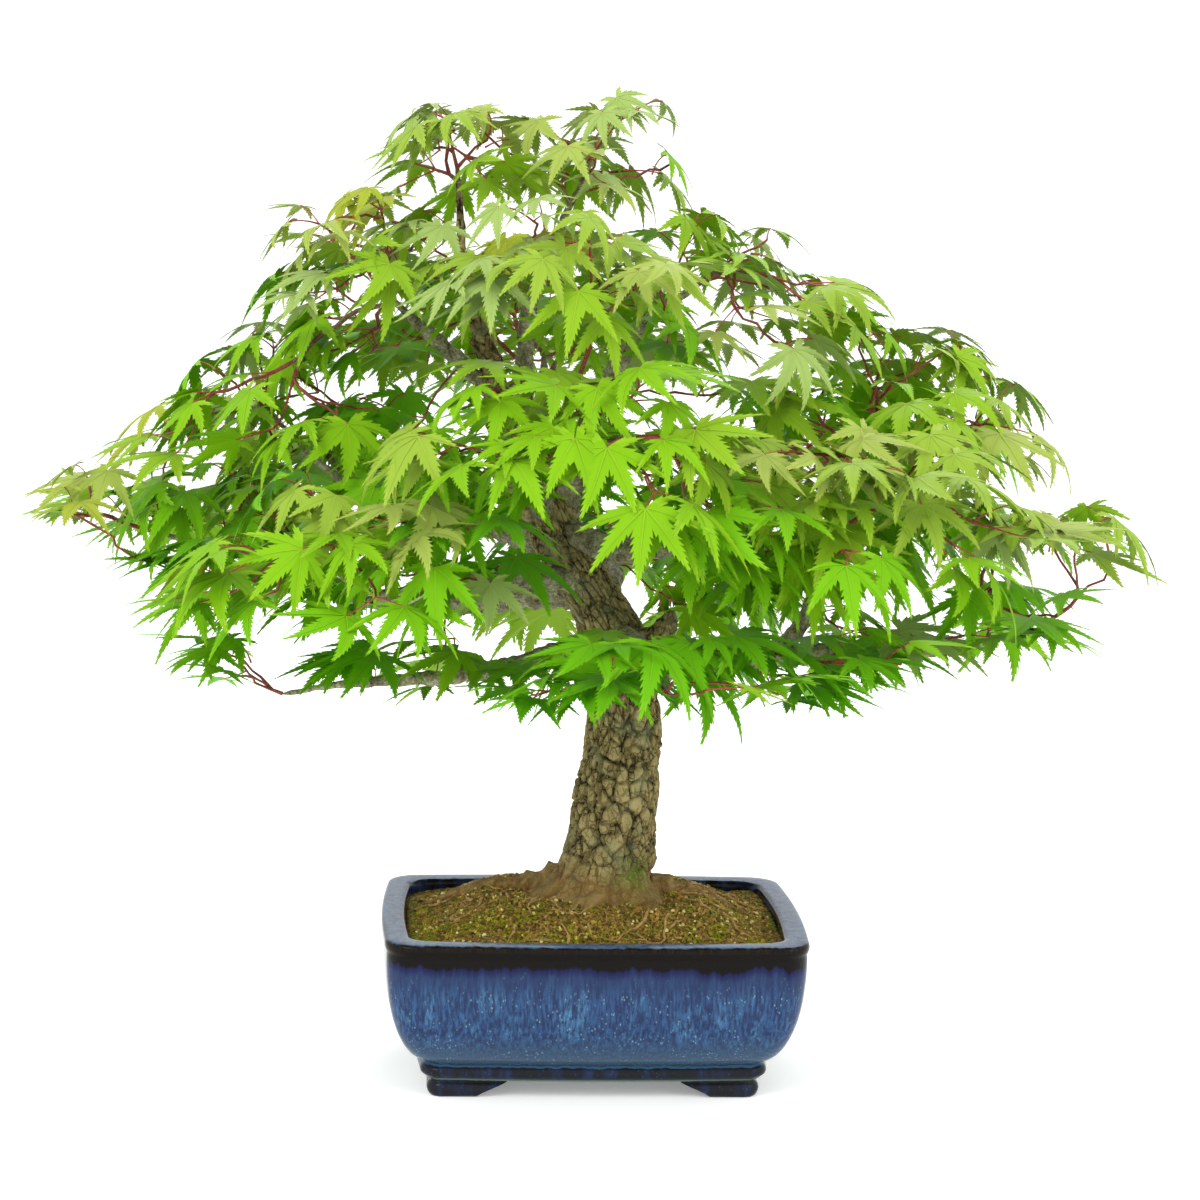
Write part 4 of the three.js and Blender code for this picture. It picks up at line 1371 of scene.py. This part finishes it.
@dataclass
class Crown:
    """Twigs, leaf stalks and leaves that grow on from the boughs by one seeded rule."""

    boughs: dict[str, np.ndarray]
    seed: int = 21
    spacing: float = 28.5
    top_share: float = 0.8
    shell: float = 22
    least_depth: float = 5
    inner_share: float = 0.0336
    inner_gap: float = 1.25
    tries: int = 9000
    tries_room: float = 2.2e6
    balance: float = 0.34
    bough_run: float = 0.22
    free_from: float = 0.3
    turn_cost: float = 0.6
    twig_step: float = 6.5
    tip_radius: float = 0.62
    thickening: float = 0.45
    young_reach: float = 75
    middle: tuple[float, float] = (-8, 0)
    sun_step: float = 7
    sun_reach: float = 130
    sun_width: float = 30
    sun_fade: float = 3.2
    leaf_reach: tuple[float, float] = (31, 45)
    size_low: float = 1.15
    size_fall: float = 0.36
    stalk_length: tuple[float, float] = (11, 23)
    stalk_radii: tuple[float, ...] = (0.55, 0.4, 0.34, 0.34, 0.42)
    fall: tuple[float, float] = (0, 46)
    droop: tuple[float, float] = (0.1, 0.46)
    sag: tuple[float, float] = (0, 0.28)
    twist: float = 0.14
    curl: float = 0.16
    roll: float = 0.26
    ways_to_hang: tuple[tuple[float, float], ...] = ((1, 1), (1, 0.35), (0.86, 0.35), (0.8, -0.2), (0.7, 0))
    margin: tuple[float, float, float] = (6, 8, 9)
    clear_below: float = 22
    clear_below_top: float = 7
    least_clear: float = 0.45
    upper_share: float = 0.34
    opening_edge: float = 5
    openings: tuple[tuple[float, float, float], ...] = (
        (18, 481, 10), (271, 253, 11), (52, 407, 11), (247, 272, 9), (-166, 230, 13), (229, 341, 8),
        (-116, 466, 7), (-84, 467, 7), (82, 393, 7), (285, 266, 7), (-105, 206, 7), (257, 238, 8))
    added_tips: tuple[tuple[float, float, float], ...] = (
        (-138, -8, 392), (-118, 14, 386), (-84, 4, 494), (-60, -10, 488), (-28, 10, 488), (84, -22, 362),
        (62, 20, 356), (126, 10, 236), (-56, -44, 222), (-82, 20, 214), (-262, 6, 306), (-270, -16, 294),
        (-278, 4, 290), (14, 0, 500), (2, -12, 494), (44, -6, 440), (282, 0, 272), (262, -10, 296))
    canopy: tuple[tuple[float, float], ...] = (
        (-306, 298), (-291, 306), (-258, 330), (-230, 348), (-203, 379), (-182, 405), (-176, 448),
        (-140, 453), (-133, 468), (-106, 504), (-91, 513), (-65, 509), (-35, 504), (-5, 513), (15, 516),
        (36, 509), (43, 470), (50, 456), (99, 449), (118, 428), (144, 413), (178, 398), (211, 373),
        (246, 339), (283, 297), (308, 258))
    skirt: tuple[tuple[float, float], ...] = (
        (-306, 290), (-276, 281), (-251, 254), (-238, 224), (-212, 200), (-192, 186), (-173, 202),
        (-128, 204), (-109, 173), (-85, 192), (-60, 192), (-39, 167), (-12, 186), (13, 186), (34, 170),
        (55, 158), (86, 156), (105, 188), (144, 190), (163, 198), (186, 212), (223, 208), (265, 219),
        (308, 210))
    edge_slack: float = 5
    tip_rise: float = 20
    network: Network = field(default_factory=Network)
    sprays: list[np.ndarray] = field(default_factory=list)
    twigs: list[list[int]] = field(default_factory=list)
    leafy: list[bool] = field(default_factory=list)
    stalks: Stock = field(default_factory=Stock)
    blades: dict[LeafTint, Stock] = field(default_factory=lambda: {tint: Stock() for tint in LeafTint})

    def masses(self) -> list[str]:
        """The CAD nodes that hold the foliage."""
        return sorted(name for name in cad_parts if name.startswith("foliage_"))

    def seek_sprays(self) -> None:
        """Scatters the ends of twigs through the foliage, closer together near its outside."""
        rng = np.random.default_rng(self.seed)
        self.sprays = [np.array(tip, float) for tip in self.added_tips]
        for name in self.masses():
            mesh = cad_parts[name].data
            tree = BVHTree.FromPolygons([corner.co / MM for corner in mesh.vertices],
                                        [tuple(face.vertices) for face in mesh.polygons])
            low, high = (np.array(corner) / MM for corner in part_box(name))
            tries = int(self.tries * np.prod(high - low) / self.tries_room)
            on_top = name.startswith("foliage_top")
            clear = self.clear_below_top if on_top else self.clear_below
            for spot in rng.uniform(low, high, (tries, 3)):
                near, normal, _, depth = tree.find_nearest(Vector(spot))
                if (Vector(spot) - near).dot(normal) > 0 or depth < self.least_depth:
                    continue
                if not self.fits(spot[None], -self.tip_rise):
                    continue
                below = tree.ray_cast(Vector(spot), Vector((0, 0, -1)))[3]
                above = tree.ray_cast(Vector(spot), Vector((0, 0, 1)))[3]
                if not below or not above:
                    continue
                thick = below + above
                if below < min(clear, self.least_clear * thick) or below < self.upper_share * thick:
                    continue
                if depth > self.shell and rng.random() > self.inner_share:
                    continue
                gap = self.spacing * (1 if depth < self.shell else self.inner_gap)
                if on_top:
                    gap *= self.top_share
                if np.min(np.linalg.norm(np.array(self.sprays) - spot, axis=1)) >= gap:
                    self.sprays.append(spot)
        LOG.info("sprays: %d", len(self.sprays))

    def outward(self, spot: np.ndarray, rng: np.random.Generator) -> np.ndarray:
        """The level direction that leads out of the crown at a spot."""
        level = spot[:2] - np.array(self.middle) + rng.normal(size=2) * 26
        return np.append(level / max(np.linalg.norm(level), 1e-6), 0.0)

    def grow(self) -> None:
        """Joins each spray to the bough or twig from which it is reached most easily."""
        rng = np.random.default_rng(self.seed + 1)
        for line in self.boughs.values():
            ways = unit(np.gradient(line[:, :3], axis=0))
            parent = -1
            for k in range(int(self.free_from * len(line)), len(line), 3):
                run = self.bough_run * k * Bough.step
                parent = self.network.add(line[k, :3], ways[k], run, parent, line[k, 3])
        carriers = len(self.network.places)
        targets = np.array(self.sprays)
        best = np.full(len(targets), np.inf)
        source = np.zeros(len(targets), int)

        def offer(first: int) -> None:
            """Lets every free spray look at the points from first on."""
            for k in range(first, len(self.network.places)):
                gap = targets - self.network.places[k]
                far = np.linalg.norm(gap, axis=1)
                bend = 1 - (gap @ self.network.ways[k]) / np.maximum(far, 1e-6)
                cost = far * (1 + self.turn_cost * bend) + self.balance * self.network.runs[k]
                better = cost < best
                best[better] = cost[better]
                source[better] = k

        offer(0)
        free = np.ones(len(targets), bool)
        while free.any():
            chosen = int(np.argmin(np.where(free, best, np.inf)))
            free[chosen] = False
            first = len(self.network.places)
            self.twigs.append(self.twig(int(source[chosen]), targets[chosen], rng))
            offer(first)
        LOG.info("twigs: %d on %d bough points", len(self.twigs), carriers)

    def twig(self, start: int, end: np.ndarray, rng: np.random.Generator) -> list[int]:
        """Grows one twig from a point of the network to a spray.

        Args:
            start: Number of the point that it grows from.
            end: Where its tip comes.
            rng: Source of its small crooks.

        Returns:
            The numbers of its points, from the start to the tip.
        """
        origin, way = self.network.places[start], self.network.ways[start]
        length = float(np.linalg.norm(end - origin))
        leave = unit(way * 0.55 + unit(end - origin) * 0.8)
        arrive = unit(unit(end - origin) * 0.7 + self.outward(end, rng) * 0.6 + UP * 0.16)
        steps = max(3, round(length / self.twig_step))
        share = np.linspace(0, 1, steps + 1)[:, None]
        path = ((2 * share ** 3 - 3 * share ** 2 + 1) * origin
                + (share ** 3 - 2 * share ** 2 + share) * leave * length
                + (3 * share ** 2 - 2 * share ** 3) * end
                + (share ** 3 - share ** 2) * arrive * length * 0.8)
        path[1:-1] += rng.normal(size=(steps - 1, 3)) * 0.75
        ways = unit(np.gradient(path, axis=0))
        numbers = [start]
        run = self.network.runs[start]
        for k in range(1, steps + 1):
            run += float(np.linalg.norm(path[k] - path[k - 1]))
            numbers.append(self.network.add(path[k], ways[k], run, numbers[-1], self.network.limits[start]))
        return numbers

    def thicknesses(self) -> tuple[np.ndarray, np.ndarray]:
        """How many tips each point carries, and the radius that gives it."""
        carried = np.zeros(len(self.network.places), int)
        for twig, leafy in zip(self.twigs, self.leafy):
            carried[twig[-1]] += leafy
        for k in range(len(carried) - 1, -1, -1):
            if self.network.parents[k] >= 0:
                carried[self.network.parents[k]] += carried[k]
        radius = self.tip_radius * np.maximum(carried, 1) ** self.thickening
        return carried, np.minimum(radius, 0.85 * np.array(self.network.limits))

    def dress_twigs(self) -> None:
        """Makes the old and the young wood of the twigs."""
        carried, radius = self.thicknesses()
        places = np.array(self.network.places)
        old, young = Stock(), Stock()
        rng = np.random.default_rng(self.seed + 2)
        for whole in self.twigs:
            twig = whole[:1] + [number for number in whole[1:] if carried[number]]
            if len(twig) < 3:
                continue
            path = places[twig]
            thick = radius[twig].copy()
            thick[0] = min(thick[1] * 1.35, self.network.limits[twig[0]])
            thick[2:-1:2] *= rng.uniform(1.05, 1.25, len(thick[2:-1:2]))
            run = run_along(path)
            fresh = (carried[twig] <= 4) & (run[-1] - run < self.young_reach)
            split = int(np.argmax(fresh)) if fresh.any() else len(path) - 1
            if split >= 1:
                old.add(*tube(path[:split + 1], thick[:split + 1], 6))
            if split < len(path) - 1:
                young.add(*tube(path[split:], thick[split:], 5))
        settle(old.piece("old_twigs", GREY_TWIG), "old_twigs", Slot.YOUNG_BARK, *self.masses())
        settle(young.piece("young_twigs", RED_TWIG), "young_twigs", Slot.YOUNG_BARK, *self.masses())

    def sun(self, spot: np.ndarray, tips: np.ndarray) -> float:
        """How open a spray is to the sky, from near 0 under many others to 1 under none."""
        away = tips - spot
        above = (away[:, 2] > self.sun_step) & (away[:, 2] < self.sun_reach)
        near = np.hypot(away[:, 0], away[:, 1]) < self.sun_width + 0.15 * away[:, 2]
        return math.exp(-np.count_nonzero(above & near) / self.sun_fade)

    def tint(self, tall: float, sun: float, rng: np.random.Generator) -> LeafTint:
        """Deals a spray its tint as painted light and shade: deep in the shade and low down, bright in the
        open and high up.
        """
        draw = rng.random()
        if draw < 0.06 * sun:
            return LeafTint.OLIVE
        # The pale tint is a painted sheen, dealt to high sprays that are open to the sky.
        if draw < 0.06 + 0.5 * sun * max(0.0, tall - 0.3):
            return LeafTint.PALE
        # Painted light and shade: more sky above and more height deal a paler, sunlit-looking green.
        score = 0.3 * tall + 0.5 * sun + rng.normal() * 0.12
        return SHADE_TO_SUN[int(np.clip(score * 6.4 + 0.5, 0, len(SHADE_TO_SUN) - 1))]

    def leaf_frame(self, way: np.ndarray, roll: float) -> np.ndarray:
        """Rows that turn a flat leaf so that it points along way with its face up."""
        side = unit(np.cross(UP, way))
        face = np.cross(way, side)
        return np.vstack([way, side * math.cos(roll) + face * math.sin(roll),
                          face * math.cos(roll) - side * math.sin(roll)])

    def hang(self, shape: np.ndarray, reach: float, droop: float, sag: float, twist: float,
             curl: float) -> np.ndarray:
        """Bends a flat leaf of one unit as it hangs from its stalk.

        Args:
            shape: Its corners.
            reach: Its real length in millimetres.
            droop: How far its tips fall.
            sag: How far its side lobes fall.
            twist: How far one side lifts and the other falls.
            curl: Turn of its lobes' tips to one side, in radians.

        Returns:
            Its corners in millimetres, before it is turned into place.
        """
        x, y, z = shape.T
        out = np.hypot(x, y)
        bend = curl * out ** 2
        x, y = x * np.cos(bend) - y * np.sin(bend), x * np.sin(bend) + y * np.cos(bend)
        shrink = 1 / np.sqrt(1 + (1.1 * droop * out) ** 2)
        z = z - droop * out ** 2 - sag * np.abs(y) ** 1.6 + twist * x * y
        return np.column_stack([x * shrink, y * shrink * (1 - 0.2 * sag), z]) * reach

    def from_front(self, corners: np.ndarray) -> np.ndarray:
        """Where corners appear from in front, as rows of x and z in the plane of the trunk."""
        eye_x, eye_y, eye_z = Studio.camera_place
        nearer = eye_y / (eye_y - corners[:, 1])
        return np.column_stack([eye_x + (corners[:, 0] - eye_x) * nearer,
                                eye_z + (corners[:, 2] - eye_z) * nearer])

    def fits(self, corners: np.ndarray, slack: float) -> bool:
        """Whether a leaf or a tip keeps inside the crown's outline and clear of its openings.

        Args:
            corners: Its corners in millimetres.
            slack: How far it may hang out below the outline.

        Returns:
            True where it fits.
        """
        low = np.array(CAD_BOX[0]) / MM - self.margin
        high = np.array(CAD_BOX[1]) / MM + self.margin
        seen = self.from_front(corners)
        middle = seen.mean(axis=0)
        for x, z, radius in self.openings:
            if math.hypot(middle[0] - x, middle[1] - z) < radius + self.opening_edge:
                return False
        over = np.interp(seen[:, 0], *np.transpose(self.canopy))
        under = np.interp(seen[:, 0], *np.transpose(self.skirt))
        inside = np.all(corners > low) and np.all(corners < high)
        inside &= seen[:, 0].min() > self.canopy[0][0] and seen[:, 0].max() < self.canopy[-1][0]
        return bool(inside and np.all(seen[:, 1] < over) and np.all(seen[:, 1] > under - slack))

    def buds(self, rng: np.random.Generator) -> tuple[list[Bud], float]:
        """Deals a twig its leaves: a pair at the tip, often one or two behind, at times one ahead.

        Args:
            rng: Source of the draws.

        Returns:
            The buds, and how far their leaves may hang out below the crown's outline.
        """
        first, second = (math.radians(rng.normal() * 14) for _ in range(2))
        back = rng.uniform(9, 14)
        slack = (0.5 + rng.normal()) * self.edge_slack
        third, fourth = (side * math.pi / 2 + rng.normal() * 0.4 for side in (1, -1))
        has_third, has_fourth = rng.random() < 0.42, rng.random() < 0.52
        buds = [Bud(0, first, 1.0), Bud(0, math.pi + second, 1.0)]
        if has_third:
            buds.append(Bud(back, third, 0.9))
        if has_fourth:
            buds.append(Bud(back, fourth, 1.0))
        if rng.random() < 0.3:
            buds.append(Bud(-1, 0.0, 0.72))
        return buds, slack

    def hang_leaf(self, tip: np.ndarray, way: np.ndarray, bud: Bud, slack: float, tall: float, blades: Stock,
                  rng: np.random.Generator) -> bool:
        """Hangs one leaf on its stalk from a twig, in the first way for which there is room.

        Args:
            tip: The twig's tip.
            way: Where the twig points.
            bud: Where the leaf starts.
            slack: How far it may hang out below the crown's outline.
            tall: How high up in the crown it is, from 0 to 1.
            blades: The stock that the leaf is added to.
            rng: Source of the draws.

        Returns:
            True where there was room for it.
        """
        side = unit(np.cross(way, UP) + 1e-4)
        across = side * math.cos(bud.bearing) + np.cross(side, way) * math.sin(bud.bearing)
        ahead = bud.behind < 0
        leave = unit(way * 0.8 + across * (0.1 if ahead else 0.9) + UP * 0.12)
        foot = tip - way * max(bud.behind, 0)
        heading = unit(self.outward(tip, rng) * 0.75 + leave * (1, 1, 0) * 1.1 + rng.normal(size=3) * 0.16)
        fall = math.radians(rng.uniform(*self.fall))
        length = rng.uniform(*self.stalk_length) * (0.7 if ahead else 1)
        reach = rng.uniform(*self.leaf_reach) * bud.size * (self.size_low - self.size_fall * tall)
        shape = LEAF_SHAPES[int(rng.choice(len(LEAF_SHAPES), p=[share for _, share in LEAF_SHAPES]))][0]
        droop, sag, twist = rng.uniform(*self.droop), rng.uniform(*self.sag), rng.normal() * self.twist
        curl, roll = rng.normal() * self.curl, rng.normal() * self.roll
        elbow = foot + leave * length * 0.62
        for shorter, fallen in self.ways_to_hang:
            level = np.array([heading[0], heading[1], 0]) * math.cos(fall * fallen)
            blade_way = unit(level - UP * math.sin(fall * fallen))
            joint = elbow + unit(leave * 0.55 + blade_way * 0.6) * length * 0.42
            drooping = droop * (0.4 + 0.6 * fallen)
            hung = self.hang(np.array(shape.corners), reach * shorter, drooping, sag, twist, curl)
            turned = hung @ self.leaf_frame(blade_way, roll) + joint
            if self.fits(turned, slack):
                blades.add(turned, shape.faces, shape.kinds)
                share = np.linspace(0, 1, len(self.stalk_radii))[:, None]
                path = (1 - share) ** 2 * foot + 2 * share * (1 - share) * elbow + share ** 2 * joint
                self.stalks.add(*tube(path, self.stalk_radii, 4))
                return True
        return False

    def dress_leaves(self) -> None:
        """Makes the leaf stalks, and the leaves of each tint with their veins."""
        rng = np.random.default_rng(self.seed + 3)
        tips = np.array(self.sprays)
        low, high = tips[:, 2].min(), tips[:, 2].max()
        leaves = 0
        for twig in self.twigs:
            tip, way = self.network.places[twig[-1]], self.network.ways[twig[-1]]
            tall = (tip[2] - low) / (high - low)
            blades = self.blades[self.tint(tall, self.sun(tip, tips), rng)]
            buds, slack = self.buds(rng)
            hung = [self.hang_leaf(tip, way, bud, slack, tall, blades, rng) for bud in buds]
            self.leafy.append(any(hung))
            leaves += sum(hung)
        LOG.info("leaves: %d", leaves)
        masses = self.masses()
        settle(self.stalks.piece("leaf_stalks", RED_STALK), "leaf_stalks", Slot.YOUNG_BARK, *masses)
        for tint, stock in self.blades.items():
            if stock.count:
                name = f"leaves_{tint.name.lower()}"
                finishes = [tint.finish(share) for share in LEAF_SHARES]
                made = stock.piece(name, *finishes, soft_angle=0.3)
                settle(made, name, Slot.LEAF, *masses)

    def build(self) -> None:
        """Grows the crown and makes all its pieces."""
        self.seek_sprays()
        self.grow()
        self.dress_leaves()
        self.dress_twigs()


# The studio.


@dataclass
class Studio:
    """Plain white floor, soft light from all round, and the camera."""

    camera_place: tuple[float, float, float] = (-93.3, -1451.0, 449.7)
    yaw: float = 0.0649
    pitch: float = 0.137
    roll: float = 0.02275
    lens: float = 85.0
    floor_size: float = 12000
    lamps: tuple[tuple[str, tuple[float, float, float], float, float], ...] = (
        ("key_light", (-1100, -1300, 1500), 900, 15), ("fill_light", (1300, -900, 900), 1000, 6),
        ("back_light", (300, 1300, 1300), 900, 7))
    aim: tuple[float, float, float] = (0, 0, 280)
    room_light: float = 1.28
    floor_white: float = 0.97
    floor_glow: float = 0.22

    def floor(self) -> None:
        """Lays the floor."""
        drop()
        bpy.ops.mesh.primitive_plane_add(size=self.floor_size * MM)
        floor = bpy.context.object
        floor.name = "studio_floor"
        desk = Desk("studio_white", 0.9, 0.1)
        desk.coat((self.floor_white, self.floor_white, self.floor_white, 1.0))
        desk.shader.inputs["Emission Color"].default_value = (1, 1, 1, 1)
        desk.shader.inputs["Emission Strength"].default_value = self.floor_glow
        floor.data.materials.append(desk.material)

    def light(self) -> None:
        """Hangs the lamps and sets the light of the room."""
        for name, place, size, power in self.lamps:
            lamp = bpy.data.lights.new(name, "AREA")
            lamp.size = size * MM
            lamp.energy = power
            hung = bpy.data.objects.new(name, lamp)
            hung.location = Vector(place) * MM
            way = Vector(self.aim) - Vector(place)
            hung.rotation_euler = way.to_track_quat("-Z", "Y").to_euler()
            bpy.context.scene.collection.objects.link(hung)
        room = bpy.data.worlds.new("white_room")
        room.use_nodes = True
        back = room.node_tree.nodes["Background"]
        back.inputs["Color"].default_value = (1, 1, 1, 1)
        back.inputs["Strength"].default_value = self.room_light
        bpy.context.scene.world = room
        bpy.context.scene.view_settings.view_transform = "Standard"

    def camera(self) -> None:
        """Sets up the camera."""
        level = math.cos(self.pitch)
        ahead = Vector((math.sin(self.yaw) * level, math.cos(self.yaw) * level, -math.sin(self.pitch)))
        right = Vector((math.cos(self.yaw), -math.sin(self.yaw), 0))
        up = right.cross(ahead)
        tilted_right = right * math.cos(self.roll) + up * math.sin(self.roll)
        tilted_up = up * math.cos(self.roll) - right * math.sin(self.roll)
        view = bpy.data.cameras.new("camera")
        view.lens = self.lens
        view.clip_start = 0.05
        seen = bpy.data.objects.new("camera", view)
        axes = Matrix((tilted_right, tilted_up, -ahead)).transposed()
        seen.matrix_world = Matrix.Translation(Vector(self.camera_place) * MM) @ axes.to_4x4()
        bpy.context.scene.collection.objects.link(seen)
        bpy.context.scene.camera = seen

    def build(self) -> None:
        """Sets up the whole studio."""
        self.floor()
        self.light()
        self.camera()


BARK = OldBark().make()
GREY_BARK = YoungBark(
    "grey_bark", paint(62, 56, 36), paint(118, 114, 84), paint(164, 166, 132), 6, 1.4).make()
GREY_TWIG = YoungBark("grey_twig", paint(84, 56, 42), paint(118, 88, 68), paint(148, 126, 98), 9).make()
RED_TWIG = YoungBark("red_twig", paint(92, 40, 34), paint(126, 60, 48), paint(150, 88, 66), 11).make()
RED_STALK = YoungBark(
    "red_stalk", paint(130, 44, 48), paint(158, 62, 58), paint(168, 98, 70), 14, roughness=0.5).make()


def main() -> None:
    """Builds the studio and the plant, in order."""
    logging.basicConfig(level=logging.INFO, format="%(name)s %(message)s", stream=sys.stdout)
    Studio().build()
    Pot().build()
    Soil().build()
    Trunk().build()
    boughs = {}
    for number, (name, route) in enumerate(BOUGH_ROUTES.items()):
        bough = Bough(f"{name}_wood", route, seed=number + 1)
        bough.build(name)
        boughs[name] = bough.line()
    for number, (name, route) in enumerate(ROOT_ROUTES.items()):
        Bough(name, route, seed=number + 40, crook=2.0).build("trunk")
    Bough("branch_stub", STUB_ROUTE, seed=60, crook=0.6, thin=0.1).build("trunk")
    Crown(boughs).build()


if __name__ == "__main__":
    main()
